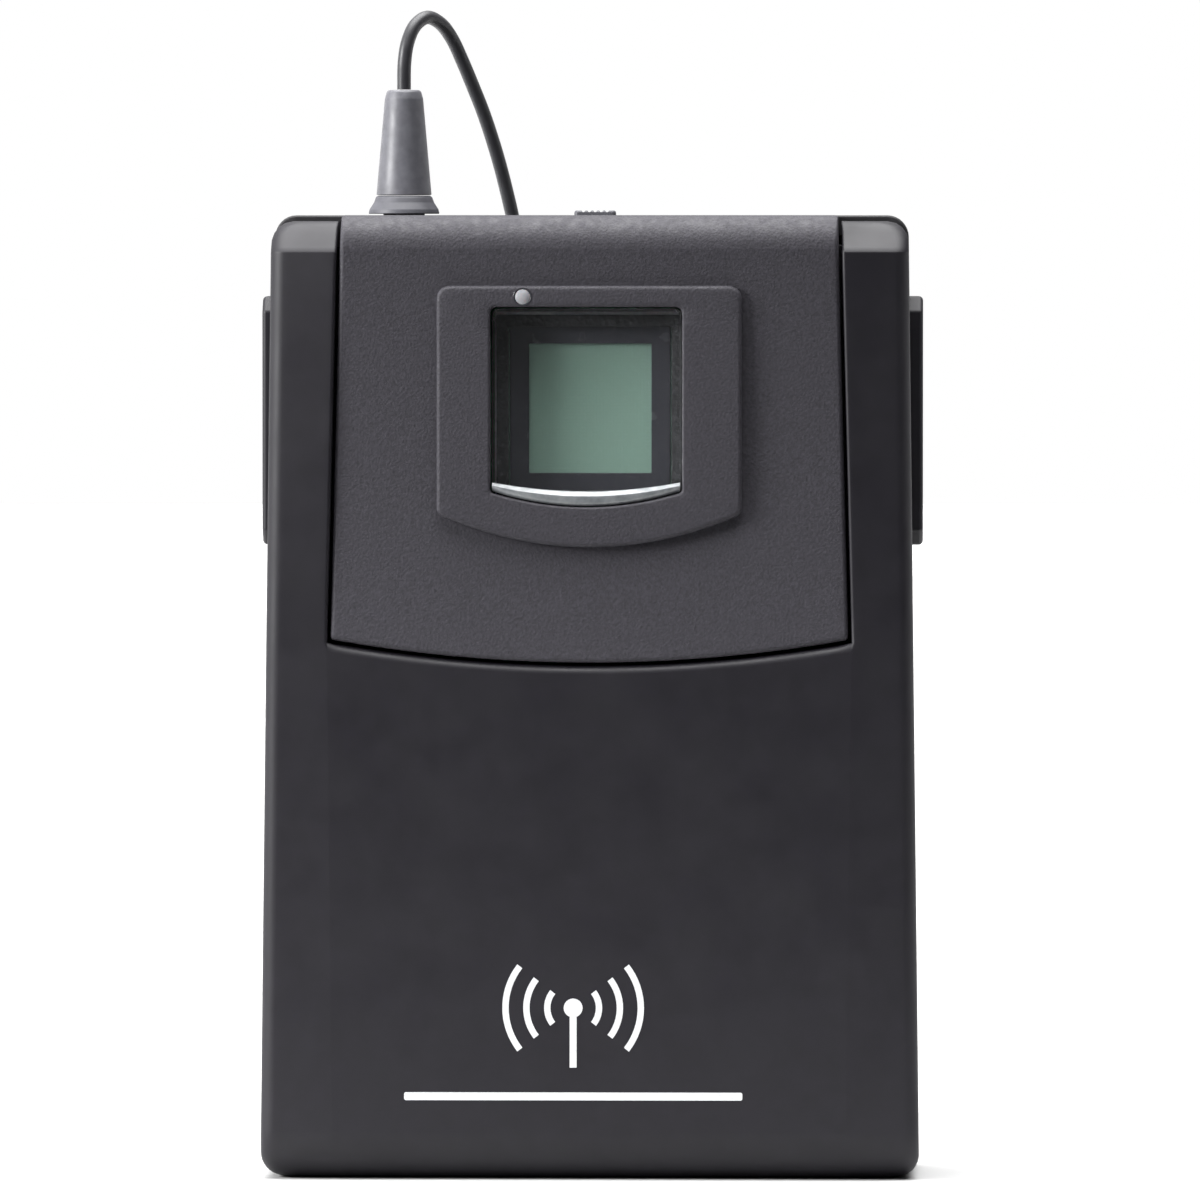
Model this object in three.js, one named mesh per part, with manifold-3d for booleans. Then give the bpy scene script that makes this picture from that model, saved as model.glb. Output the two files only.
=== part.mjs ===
// A wireless bodypack transmitter, in millimetres: X to the wearer's left, +Y to the back, +Z up.
// The origin is the middle of the face that it stands on. The case is two shells, a front door that
// swings down on two pins at its foot, and a display panel that stays put between the door's arms.
import * as THREE from 'three';
import { mergeVertices } from 'three/addons/utils/BufferGeometryUtils.js';
import Module from 'manifold-3d';

const wasm = await Module();
wasm.setup();

// ---- Driving dimensions ----

const WIDTH = 66.4; // at the foot
const HEIGHT = 97;
const DEPTH = 24;
const TAPER = 1.15; // how much narrower each side is at the top
const WALL = 2;
const SEAM = 0.35; // between mouldings that part from each other
const AIR = 0.3; // between pieces that only lie beside each other

const HALF = WIDTH / 2;
const FRONT = -DEPTH / 2;
const BACK = DEPTH / 2;

const DOOR = { pivotY: -7, pivotZ: 5, roll: 5, rear: -2.1, top: 96.4, footEnd: -5.7 };
const SHELL_FRONT = -1.75; // where the rear shell's side walls begin
const PANEL = { halfTop: 24.9, halfBottom: 26, ends: 54.4, sag: 2.3, wall: 1.8, rear: -1.8 };
const PAD = { half: 15.3, top: 89.9, ends: 67, sag: 3.3, proud: 0.45 };
const WINDOW = { x: -0.3, half: 9.65, top: 87.8, ends: 69.2, sag: 1.5, recess: 0.5 };
const LCD = { x: 0.05, z: 77.6, width: 12.3, height: 13 };
const LED = { x: -6.65, z: 88.8, radius: 0.9 };
const CELL = { radius: 7.25, length: 50.5, nub: 2.7, nubLength: 1.2, y: -1.9, low: 19.3, high: 34.8 };
const TRAY = { half: 29.8, floor: 5.6, wall: 1.2, low: 10.6, high: 43.5, front: -9.2 };
const LEDGE = { half: 24, top: 51.2, front: -8.5, wall: 1.2, z: 47.4 };
const CATCH = { z: 76.2, tall: 25.2, y: 4, wide: 7, proud: 1.2, travel: 1 };
const SCREW = { radius: 1, head: 2, low: [27, 7.2], high: [25.2, 91.6], boss: 2.2 };
const AERIAL = { x: -19.15, y: 2 };
const MIC = { x: 16.5, y: 4.4, outer: 4.9, inner: 4.2, foot: 86.2 };
const POWER = { x: 0.2, y: 4, travel: 3 };
const CLIP = { pivotY: 15.6, pivotZ: 48, half: 9.5, top: 54.4, foot: 6, inner: 17.2, thick: 1.7 };
const BOARD = { front: 7.6, thick: 1.2, half: 27.4, low: 11, high: 85 };

// ---- Finishes ----

const finish = (color, roughness, metalness = 0, extra = {}) =>
  new THREE.MeshStandardMaterial({ color, roughness, metalness, ...extra });

const FINISH = {
  textured: () => finish(0x504f54, 0.75),
  satin: () => finish(0x38363b, 0.55),
  black: () => finish(0x1d1d1f, 0.6),
  rubber: () => finish(0x4a4a4e, 0.65),
  lens: () => finish(0xa7aaac, 0.08, 0, { transparent: true, opacity: 0.35 }),
  lcd: () => finish(0x697e74, 0.35),
  diffuser: () => finish(0xd8dad6, 0.5),
  foam: () => finish(0x232325, 0.95),
  board: () => finish(0x1f5a3a, 0.5),
  steel: () => finish(0x9a9ca0, 0.3, 1),
  nickel: () => finish(0xb6b4ac, 0.25, 1),
  gold: () => finish(0xc9a24e, 0.3, 1),
  cell: () => finish(0x8d9299, 0.35, 0.6),
  key: () => finish(0x8b8c90, 0.6),
};

// Both sides of the case, left (-1) and right (1), and two numbers in rising order.
const sides = (visit) => [-1, 1].map(visit);
const span = (a, b) => [Math.min(a, b), Math.max(a, b)];

// ---- Solids from three.js shapes ----

// A geometry as a solid that can be joined and cut. A triangle that has closed up at an axis is dropped.
function solid(geometry) {
  const bare = geometry.clone();
  bare.deleteAttribute('normal');
  bare.deleteAttribute('uv');
  const merged = mergeVertices(bare, 1e-4);
  const index = merged.index.array;
  const triangles = [];
  for (let i = 0; i < index.length; i += 3) {
    const [a, b, c] = [index[i], index[i + 1], index[i + 2]];
    if (a !== b && b !== c && c !== a) triangles.push(a, b, c);
  }
  return new wasm.Manifold(
    new wasm.Mesh({
      numProp: 3,
      vertProperties: new Float32Array(merged.attributes.position.array),
      triVerts: new Uint32Array(triangles),
    }),
  );
}

const union = (...solids) => solids.reduce((whole, piece) => whole.add(piece));
const cut = (body, ...tools) => tools.reduce((rest, tool) => rest.subtract(tool), body);

function block(x0, x1, y0, y1, z0, z1) {
  const box = new THREE.BoxGeometry(x1 - x0, y1 - y0, z1 - z0);
  return solid(box.translate((x0 + x1) / 2, (y0 + y1) / 2, (z0 + z1) / 2));
}

// A closed outline through corners [u, v, radius]. Each corner with a radius is a true arc.
function outline(corners) {
  const shape = new THREE.Shape();
  corners.forEach(([u, v, radius = 0], i) => {
    const [u0, v0] = corners[(i + corners.length - 1) % corners.length];
    const [u1, v1] = corners[(i + 1) % corners.length];
    const back = new THREE.Vector2(u0 - u, v0 - v).normalize();
    const ahead = new THREE.Vector2(u1 - u, v1 - v).normalize();
    const half = Math.acos(THREE.MathUtils.clamp(back.dot(ahead), -1, 1)) / 2;
    const start = new THREE.Vector2(u, v).addScaledVector(back, radius / Math.tan(half));
    if (i) shape.lineTo(start.x, start.y);
    else shape.moveTo(start.x, start.y);
    if (!radius) return;
    const centre = back.clone().add(ahead).setLength(radius / Math.sin(half)).add(new THREE.Vector2(u, v));
    const end = new THREE.Vector2(u, v).addScaledVector(ahead, radius / Math.tan(half));
    const [from, to] = [start, end].map((p) => p.clone().sub(centre).angle());
    if (!i) shape.curves.length = 0;
    shape.absarc(centre.x, centre.y, radius, from, to, back.cross(ahead) > 0);
  });
  return shape;
}

const rectangle = (u0, u1, v0, v1, radius = 0) =>
  outline([
    [u0, v0, radius],
    [u1, v0, radius],
    [u1, v1, radius],
    [u0, v1, radius],
  ]);

// An outline with upright sides and a foot that is one shallow arc, lowest in the middle.
function shield({ x = 0, halfTop, halfBottom, top, ends, sag, corner = 0 }) {
  const radius = (halfBottom ** 2 + sag ** 2) / (2 * sag);
  const half = Math.asin(halfBottom / radius);
  const shape = new THREE.Shape();
  shape.moveTo(x - halfTop + corner, top);
  shape.quadraticCurveTo(x - halfTop, top, x - halfTop, top - corner);
  shape.lineTo(x - halfBottom, ends);
  shape.absarc(x, ends - sag + radius, radius, -Math.PI / 2 - half, -Math.PI / 2 + half, false);
  shape.lineTo(x + halfTop, top - corner);
  shape.quadraticCurveTo(x + halfTop, top, x + halfTop - corner, top);
  return shape;
}

const extrude = (shape, depth, curveSegments) =>
  new THREE.ExtrudeGeometry(shape, { depth, bevelEnabled: false, curveSegments });

// An outline drawn in (x, z) and carried along Y, drawn in (y, z) and along X, or in (x, y) and along Z.
const alongY = (shape, y0, y1, segments = 2) =>
  extrude(shape, y1 - y0, segments).rotateX(Math.PI / 2).translate(0, y1, 0);
const alongX = (shape, x0, x1, segments = 2) =>
  extrude(shape, x1 - x0, segments)
    .applyMatrix4(
      new THREE.Matrix4().makeBasis(
        new THREE.Vector3(0, 1, 0),
        new THREE.Vector3(0, 0, 1),
        new THREE.Vector3(1, 0, 0),
      ),
    )
    .translate(x0, 0, 0);
const alongZ = (shape, z0, z1, segments = 2) => extrude(shape, z1 - z0, segments).translate(0, 0, z0);

// A round solid turned about its own axis from [radius, height] points, standing on [x, y, z].
const TURNS = {
  x: (geometry) => geometry.rotateZ(-Math.PI / 2),
  y: (geometry) => geometry,
  z: (geometry) => geometry.rotateX(Math.PI / 2),
};
function turned(profile, axis, [x, y, z], segments = 20) {
  const points = profile.map(([radius, height]) => new THREE.Vector2(radius, height));
  return solid(TURNS[axis](new THREE.LatheGeometry(points, segments)).translate(x, y, z));
}
const rod = (radius, length, axis, place, segments = 20) =>
  turned([[0, 0], [radius, 0], [radius, length], [0, length]], axis, place, segments);

// The case draws in towards the top: each x shrinks with height.
function taper(geometry) {
  const position = geometry.attributes.position;
  for (let i = 0; i < position.count; i += 1) {
    position.setX(i, position.getX(i) * (1 - (TAPER * position.getZ(i)) / (HALF * HEIGHT)));
  }
  return geometry;
}
const halfWidthAt = (z) => HALF - (TAPER * z) / HEIGHT;

// ---- Putting pieces into the model ----

const group = new THREE.Group();

function add(name, shape, material) {
  const { vertProperties, triVerts } = shape.getMesh();
  const geometry = new THREE.BufferGeometry();
  geometry.setAttribute('position', new THREE.BufferAttribute(new Float32Array(vertProperties), 3));
  geometry.setIndex(new THREE.BufferAttribute(new Uint32Array(triVerts), 1));
  const flat = geometry.toNonIndexed();
  flat.computeVertexNormals();
  const mesh = new THREE.Mesh(flat, material());
  mesh.name = name;
  group.add(mesh);
  return mesh;
}

// ---- The case's outer form ----

// The whole case, or with an inset its cavity: three outlines crossed, then drawn in at the top.
function envelope(inset) {
  const less = (radius) => Math.max(radius - inset, 0.4);
  const side = HALF - inset;
  const [front, back] = [FRONT + inset, BACK - inset];
  const [foot, top] = [inset, HEIGHT - inset];
  const facing = outline([
    [-side, foot, less(2.6)],
    [side, foot, less(2.6)],
    [side, top, less(2.2)],
    [-side, top, less(2.2)],
  ]);
  const profile = outline([
    [front, foot, less(DOOR.roll)],
    [back, foot, less(2)],
    [back, top, less(2.4)],
    [front, top, less(2.8)],
  ]);
  const plan = outline([
    [-side, back, less(3.6)],
    [-side, front + 0.35, less(1.4)],
    [-25.6, front],
    [25.6, front],
    [side, front + 0.35, less(1.4)],
    [side, back, less(3.6)],
  ]);
  return solid(taper(alongY(facing, front, back)))
    .intersect(solid(taper(alongX(profile, -side, side, 3))))
    .intersect(solid(taper(alongZ(plan, foot, top))));
}

const panelOutline = (grow) =>
  shield({
    halfTop: PANEL.halfTop + grow,
    halfBottom: PANEL.halfBottom + grow,
    top: HEIGHT + 1,
    ends: PANEL.ends - grow,
    sag: PANEL.sag,
  });

const windowOutline = (grow) =>
  shield({
    x: WINDOW.x,
    halfTop: WINDOW.half + grow,
    halfBottom: WINDOW.half + grow,
    top: WINDOW.top + grow,
    ends: WINDOW.ends - grow,
    sag: WINDOW.sag,
    corner: 0.8,
  });

// Everything that stays put is kept out of this barrel, which the foot of the door sweeps.
const doorSweep = () => rod(DOOR.roll + SEAM, WIDTH + 2, 'x', [-HALF - 1, DOOR.pivotY, DOOR.pivotZ], 40);

// ---- Shells ----

function rearShell() {
  const shell = cut(envelope(0), envelope(WALL));
  const rear = shell.intersect(block(-40, 40, SHELL_FRONT - 4, 20, -1, 100));
  const sidesAhead = block(-40, 40, -20, SHELL_FRONT, 3, 100);
  let body = cut(rear, sidesAhead, doorSweep());
  for (const sign of [-1, 1]) {
    for (const [[x, z], front] of [[SCREW.low, 6.8], [SCREW.high, -1]]) {
      const post = rod(SCREW.boss, BACK - 1 - front, 'y', [sign * x, front, z], 14);
      body = union(body, post);
    }
  }
  for (const sign of [-1, 1]) {
    for (const [x, z] of [SCREW.low, SCREW.high]) {
      const shank = rod(SCREW.radius + 0.2, 20, 'y', [sign * x, -4, z], 10);
      const head = rod(SCREW.head + 0.25, 3, 'y', [sign * x, BACK - 1.7, z], 16);
      body = cut(body, shank, head);
    }
    const x = sign * halfWidthAt(CATCH.z);
    const slot = block(x - 4, x + 4, CATCH.y - CATCH.wide / 2 - AIR, CATCH.y + CATCH.wide / 2 + AIR,
      CATCH.z - CATCH.tall / 2 - AIR, CATCH.z + CATCH.tall / 2 + AIR);
    body = cut(body, slot);
    const clipScrew = rod(1.2, 6, 'y', [sign * 5.2, BACK - 4, 44], 10);
    body = cut(body, clipScrew);
  }
  const aerialHole = rod(2.6, 6, 'z', [AERIAL.x, AERIAL.y, HEIGHT - 4], 16);
  const micHole = rod(MIC.outer + AIR, 6, 'z', [MIC.x, MIC.y, HEIGHT - 4], 24);
  const [left, right] = [POWER.x - 2.4, POWER.x + 2.4 + POWER.travel];
  const switchSlot = solid(alongZ(rectangle(left, right, POWER.y - 1.6, POWER.y + 1.6, 0.5), 90, 100));
  const switchDish = solid(
    alongZ(rectangle(left - 1.6, right + 1.6, POWER.y - 2.8, POWER.y + 2.8, 1.2), HEIGHT - 0.6, 100),
  );
  return cut(body, aerialHole, micHole, switchSlot, switchDish);
}

function frontPanel() {
  const outer = envelope(0).intersect(solid(alongY(panelOutline(0), -20, PANEL.rear)));
  const inner = envelope(WALL).intersect(solid(alongY(panelOutline(-PANEL.wall), -20, 0)));
  const pad = solid(
    alongY(
      shield({ ...PAD, halfTop: PAD.half, halfBottom: PAD.half, corner: 1.5 }),
      FRONT - PAD.proud, FRONT + 1),
  );
  const flangeBox = new THREE.BoxGeometry(60.6, 1.5, 38).translate(0, PANEL.rear - 0.75, 75);
  const flange = cut(solid(taper(flangeBox)), solid(alongY(panelOutline(-PANEL.wall), -20, 0)));
  let body = union(cut(outer, inner), pad, flange);
  for (const sign of [-1, 1]) {
    const [x, z] = SCREW.high;
    body = cut(body, rod(SCREW.radius + 0.2, 3, 'y', [sign * x, -4.4, z], 16));
    body = cut(body, block(...span(sign * 27.2, sign * 34), -6, 0, CATCH.z - 6, CATCH.z + 6));
  }
  const posts = [[-17.5, 60], [17.5, 90]].map(([x, z]) => rod(1.9, 6.4, 'y', [x, FRONT + WALL - 0.1, z], 14));
  const springSeats = sides((sign) =>
    block(...span(sign * 23.9, sign * 25), -3, 6.2, CATCH.z - 10.5, CATCH.z - 5.5),
  );
  body = union(body, ...posts, ...springSeats);
  const window = solid(alongY(windowOutline(0), -20, FRONT + WALL + 1));
  const pipe = rod(LED.radius + 0.12, 4, 'y', [LED.x, FRONT - 1, LED.z], 24);
  return cut(body, window, pipe);
}

function batteryDoor() {
  const shell = cut(envelope(0), envelope(WALL));
  const behind = block(-40, 40, DOOR.rear, 20, -1, 100);
  const above = block(-40, 40, -20, 20, DOOR.top, 100);
  const underfoot = block(-HALF + WALL, HALF - WALL, DOOR.footEnd, 20, -1, 2.2);
  const heel = cut(
    block(-40, 40, DOOR.pivotY, 20, -1, DOOR.pivotZ),
    rod(DOOR.roll, WIDTH + 2, 'x', [-HALF - 1, DOOR.pivotY, DOOR.pivotZ], 40),
  );
  const beside = solid(alongY(panelOutline(SEAM), -20, 0));
  let body = cut(shell, behind, above, underfoot, heel, beside);
  for (const sign of [-1, 1]) {
    for (const z of [60, 92]) {
      const x = sign * halfWidthAt(z);
      body = union(body, block(...span(x - sign, sign * 26.6), FRONT + 1, -5, z, z + 1.2));
    }
    const wall = halfWidthAt(CATCH.z) - WALL;
    const reach = span(sign * (wall + 0.5), sign * (wall - 0.7));
    body = union(body, block(...reach, -5.2, -4.2, CATCH.z - 4, CATCH.z + 4));
    const pinHole = rod(1, 3, 'x', [sign > 0 ? 29.3 : -32.3, DOOR.pivotY, DOOR.pivotZ], 20);
    body = cut(body, pinHole);
  }
  return body;
}

// ---- Battery compartment, with the control ledge over it ----

function batteryTray() {
  const { half, floor, wall, low, high, front } = TRAY;
  const between = (CELL.low + CELL.high) / 2;
  const lug = () =>
    outline([
      [DOOR.pivotY - 2.2, DOOR.pivotZ - 2.2, 2.15],
      [DOOR.pivotY + 2.2, DOOR.pivotZ - 2.2, 2.15],
      [DOOR.pivotY + 2.2, low + 3],
      [DOOR.pivotY - 2.2, low + 3],
    ]);
  let body = union(
    block(-half, half, floor, floor + wall, low, LEDGE.top),
    block(-half, half, front, floor + 0.1, low, low + wall),
    block(-half, half, front, floor + 0.1, high - wall, high),
    block(-23, 23, floor - 1.6, floor + 0.1, between - 0.3, between + 0.3),
    ...sides((sign) => block(...span(sign * (half - 1.5), sign * half), front, floor + 0.1, low, high)),
    ...sides((sign) => solid(alongX(lug(), ...span(sign * (half - 1.5), sign * half), 3))),
    ...sides((sign) => block(...span(sign * 24, sign * half), floor, floor + wall, 4.6, low + 0.1)),
    ledgeWalls(),
  );
  for (const sign of [-1, 1]) {
    const [x, z] = SCREW.low;
    body = cut(
      body,
      rod(1, 3, 'x', [sign > 0 ? half - 2 : -half - 1, DOOR.pivotY, DOOR.pivotZ], 20),
      rod(SCREW.radius + 0.2, 4, 'y', [sign * x, floor - 1, z], 16),
    );
  }
  const holes = KEYS.map(({ x }) => rod(2.1, 4, 'y', [x, LEDGE.front - 1, LEDGE.z], 20));
  const gainSlot = solid(
    alongY(rectangle(GAIN.x - 1.4, GAIN.x + 1.4 + GAIN.travel, LEDGE.z - 1.3, LEDGE.z + 1.3, 0.4),
      LEDGE.front - 1, LEDGE.front + 3),
  );
  return cut(body, ...holes, gainSlot);
}

// A box open at the back, with the keys in its face.
function ledgeWalls() {
  const { half, top, front, wall } = LEDGE;
  const foot = TRAY.high - 0.1;
  return union(
    block(-half, half, front, front + wall, foot, top),
    block(-half, half, front, TRAY.floor + 0.1, top - wall, top),
    ...sides((sign) => block(...span(sign * (half - wall), sign * half), front, TRAY.floor + 0.1, foot, top)),
  );
}

// A cell stands on its flat end and carries its nub at the other.
function cell() {
  const { radius, length, nub, nubLength } = CELL;
  const body = length - nubLength;
  return turned(
    [[0, 0], [radius - 0.5, 0], [radius, 0.5], [radius, body - 0.5], [radius - 0.5, body],
      [nub, body], [nub, length], [0, length]],
    'x', [0, 0, 0], 24);
}

class ConeHelix extends THREE.Curve {
  constructor(turns, wide, narrow, length) {
    super();
    Object.assign(this, { turns, wide, narrow, length });
  }

  getPoint(t, target = new THREE.Vector3()) {
    const angle = t * this.turns * 2 * Math.PI;
    const radius = this.wide + (this.narrow - this.wide) * t;
    return target.set(t * this.length, radius * Math.cos(angle), radius * Math.sin(angle));
  }
}

function circle(radius, sides_) {
  const shape = new THREE.Shape();
  for (let i = 0; i < sides_; i += 1) {
    const angle = (2 * Math.PI * i) / sides_;
    const [u, v] = [radius * Math.cos(angle), radius * Math.sin(angle)];
    if (i) shape.lineTo(u, v);
    else shape.moveTo(u, v);
  }
  return shape;
}

// A wire coil along +X whose middle line starts at x = 0.
const coil = (wire, turns, wide, narrow, length, steps) =>
  solid(
    new THREE.ExtrudeGeometry(circle(wire, 5), {
      extrudePath: new ConeHelix(turns, wide, narrow, length),
      steps,
      bevelEnabled: false,
    }),
  );

function contactPlate(z, height) {
  return solid(alongX(rectangle(CELL.y - 5, CELL.y + 5, z - height / 2, z + height / 2, 0.8), 0, 0.3));
}

// ---- Display ----

function displayWindow() {
  const { top, ends, sag, recess } = WINDOW;
  const face = FRONT - PAD.proud + recess;
  const [foot, back] = [ends - sag - 2, -9.3];
  const flangeFront = FRONT + WALL + AIR;
  const wedge = outline([
    [back, foot],
    [face - 0.4, foot],
    [face - 0.4, ends - sag + 0.6],
    [face, ends + 0.1],
    [face, top + 2],
    [back, top + 2],
  ]);
  const fitted = solid(alongY(windowOutline(-0.2), face - 1, flangeFront));
  const flange = solid(alongY(windowOutline(1.2), flangeFront, back));
  const pipe = rod(LED.radius + AIR, 6, 'y', [LED.x, flangeFront - 2, LED.z], 14);
  return cut(union(fitted, flange).intersect(solid(alongX(wedge, -20, 20))), pipe);
}

// Plates behind the window, centred on the screen.
const plateBehind = (wide, tall, y0, y1) =>
  block(LCD.x - wide / 2, LCD.x + wide / 2, y0, y1, LCD.z - tall / 2, LCD.z + tall / 2);
const frameAround = (wide, tall, rim, y0, y1) =>
  cut(plateBehind(wide + 2 * rim, tall + 2 * rim, y0, y1), plateBehind(wide, tall, y0 - 1, y1 + 1));

function displayBoard() {
  const board = block(-20, 20, -3.5, -2.3, 57, 93);
  return cut(board, rod(1.2, 4, 'y', [-17.5, -5, 60], 16), rod(1.2, 4, 'y', [17.5, -5, 90], 16));
}

const lightPipe = () =>
  turned(
    [[0, 0], [LED.radius - 0.2, 0.1], [LED.radius, 0.4], [LED.radius, 8.4], [0, 8.4]],
    'y', [0, 0, 0], 16);

// ---- Boards ----

function mainBoard() {
  const { front, thick, half, low, high } = BOARD;
  const board = block(-half, half, front, front + thick, low, high);
  return cut(
    board,
    ...sides((sign) => rod(3, 4, 'y', [sign * SCREW.low[0], front - 1, SCREW.low[1] + 2.6], 20)),
  );
}

function shieldCan() {
  const [x0, x1, z0, z1] = [-22, 2, 58, 80];
  const [y0, y1] = [4.2, BOARD.front - 0.05];
  return cut(block(x0, x1, y0, y1, z0, z1), block(x0 + 0.4, x1 - 0.4, y0 + 0.4, y1 + 1, z0 + 0.4, z1 - 0.4));
}

// ---- Keys, gain switch and power switch ----

const KEYS = [
  { name: 'key_set', x: -16 },
  { name: 'key_up', x: -8.5 },
  { name: 'key_down', x: -1 },
];
const GAIN = { x: 11, travel: 2 };

const keyCap = () =>
  turned(
    [[0, 0], [1.5, 0], [1.85, 0.35], [1.85, 2.4], [2.5, 2.4], [2.5, 3.2], [1.2, 3.2], [1.2, 4.9], [0, 4.9]],
    'y', [0, 0, 0], 16);

function gainKnob() {
  return union(block(-1, 1, -9.2, -6.9, -0.9, 0.9), block(-1.6, 1.6, -7, -6.6, -1.6, 1.6));
}

function powerKnob() {
  const { x, y } = POWER;
  const cap = solid(alongZ(rectangle(x - 2.1, x + 2.1, y - 1.3, y + 1.3, 0.4), 94.9, HEIGHT + 0.5));
  const grips = [-1.2, 0, 1.2].map((at) =>
    block(x + at - 0.2, x + at + 0.2, y - 2, y + 2, HEIGHT + 0.2, HEIGHT + 1),
  );
  const skirt = block(x - 2.1, x + 2.1, y - 2.2, y + 2.2, 93.4, 94.6);
  return cut(union(cap, skirt, block(x - 1, x + 1, y - 0.8, y + 0.8, 94, 95.2)), ...grips);
}

// ---- Microphone socket ----

const socketShell = () =>
  cut(
    turned(
      [[0, MIC.foot], [MIC.outer - 0.4, MIC.foot], [MIC.outer - 0.4, 93.4], [MIC.outer + 0.5, 93.4],
        [MIC.outer + 0.5, 94.7], [MIC.outer, 94.7], [MIC.outer, HEIGHT], [0, HEIGHT]],
      'z', [MIC.x, MIC.y, 0], 24),
    rod(MIC.inner, 20, 'z', [MIC.x, MIC.y, MIC.foot - 1], 24),
  );

const PIN_RING = 2.05;
const pinPlaces = [0, 1, 2, 3].map((i) => {
  const angle = Math.PI / 4 + (i * Math.PI) / 2;
  return [MIC.x + PIN_RING * Math.cos(angle), MIC.y + PIN_RING * Math.sin(angle)];
});
const socketInsert = () =>
  cut(
    rod(MIC.inner - 0.15, 4.2, 'z', [MIC.x, MIC.y, MIC.foot + 0.4], 24),
    ...pinPlaces.map(([x, y]) => rod(0.62, 8, 'z', [x, y, MIC.foot - 1], 10)),
  );
const socketPin = () => turned([[0, 0], [0.46, 0], [0.46, 6.5], [0.25, 7], [0, 7]], 'z', [0, 0, 0], 8);

// ---- Aerial ----

const ferrule = () =>
  turned(
    [[0, 90.8], [2.1, 90.8], [2.1, HEIGHT + 0.15], [3.6, HEIGHT + 0.15], [3.5, 97.5], [3.2, 97.9],
      [2.95, 98.4], [2.85, 99], [0, 99]],
    'z', [0, 0, 0], 24);

const BOOT = { foot: 99.05, top: 109.7 };
const boot = () =>
  turned([[0, BOOT.foot], [2.8, BOOT.foot], [1.95, BOOT.top - 0.9], [1.7, BOOT.top], [0, BOOT.top]],
    'z', [0, 0, 0], 20);

function aerialNut() {
  const hexagon = solid(alongZ(circle(3.5, 6), 93.4, 94.7));
  return cut(hexagon, rod(2.4, 6, 'z', [0, 0, 92], 24));
}

// The wire's middle line: up out of the boot, over in a small arch, and down behind the case.
const WIRE_ROUTE = [
  [-19.15, 2, 109.75],
  [-19.1, 2, 112.5],
  [-18.8, 2.3, 114.5],
  [-18.1, 3.1, 116.2],
  [-16.9, 4.5, 117.1],
  [-15.6, 6, 116.5],
  [-14.5, 7.4, 115],
  [-13.5, 8.6, 112.8],
  [-12.45, 9.8, 110.2],
  [-11.45, 10.8, 107.6],
  [-10.6, 11.7, 105],
  [-9.85, 12.5, 102.4],
  [-9.15, 13.2, 99.6],
  [-8.45, 13.8, 96.4],
  [-7.9, 14.2, 92.6],
  [-7.5, 14.3, 88.4],
  [-7.2, 14.2, 84],
  [-7, 14, 79.2],
  [-6.9, 13.9, 74],
  [-6.9, 13.9, 68.6],
  [-6.9, 13.9, 63],
];
const WIRE_RADIUS = 0.7;

function aerialWire() {
  const places = WIRE_ROUTE.map((place) => new THREE.Vector3(...place));
  const route = new THREE.CatmullRomCurve3(places, false, 'centripetal');
  return solid(
    new THREE.ExtrudeGeometry(circle(WIRE_RADIUS, 8), { extrudePath: route, steps: 34, bevelEnabled: false }),
  );
}

const aerialTip = () =>
  turned([[0, 0], [0.6, 0.1], [1.05, 0.6], [1.05, 5.4], [0.8, 5.7], [0, 5.7]], 'z', [0, 0, 0], 16);

// ---- Side catches ----

// Drawn for the right side, with its outer face at the case's side. The left one is its mirror image.
function catchPiece(sign) {
  const { z, tall, y, wide, proud } = CATCH;
  const surface = halfWidthAt(z);
  const [low, high] = [z - tall / 2, z + tall / 2];
  const pad = solid(
    alongX(
      outline([
        [y - wide / 2, low + 1.5, 0.4],
        [y - wide / 2 + 1.5, low, 0.4],
        [y + wide / 2 - 1.5, low, 0.4],
        [y + wide / 2, low + 1.5, 0.4],
        [y + wide / 2, high - 1.5, 0.4],
        [y + wide / 2 - 1.5, high, 0.4],
        [y - wide / 2 + 1.5, high, 0.4],
        [y - wide / 2, high - 1.5, 0.4],
      ]),
      surface - 3.2, surface + proud),
  );
  const grooves = [-8, -4, 0, 4, 8].map((at) =>
    block(surface + proud - 0.4, 40, y - 5, y + 5, z + at - 0.4, z + at + 0.4),
  );
  const flange = block(29, 29.8, y - wide / 2 - 1, y + wide / 2 + 1, low - 1, high + 1);
  const finger = block(28.6, 29.25, -6.6, y, z - 4, z + 4);
  const barb = block(28.6, 29.3, -6.6, -5.5, z - 4, z + 4);
  const piece = union(cut(pad, ...grooves), flange, finger, barb);
  return sign > 0 ? piece : piece.mirror([1, 0, 0]);
}

// ---- Belt clip ----

function clipBracket() {
  const { pivotY, pivotZ } = CLIP;
  const base = solid(alongY(rectangle(-9, 9, 41, 53.5, 1.2), BACK + 0.05, BACK + 1.35));
  const cheek = () =>
    outline([
      [BACK + 1, pivotZ - 3.6],
      [pivotY + 1.7, pivotZ - 1.7, 1.6],
      [pivotY + 1.7, pivotZ + 1.7, 1.6],
      [BACK + 1, pivotZ + 3.6],
    ]);
  const cheeks = sides((sign) => solid(alongX(cheek(), ...span(sign * 7.4, sign * 8.8), 2)));
  const body = union(base, ...cheeks);
  return cut(
    body,
    rod(1.15, 30, 'x', [-15, pivotY, pivotZ], 16),
    ...sides((sign) => rod(1.2, 6, 'y', [sign * 5.2, BACK - 1, 44], 10)),
  );
}

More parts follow.
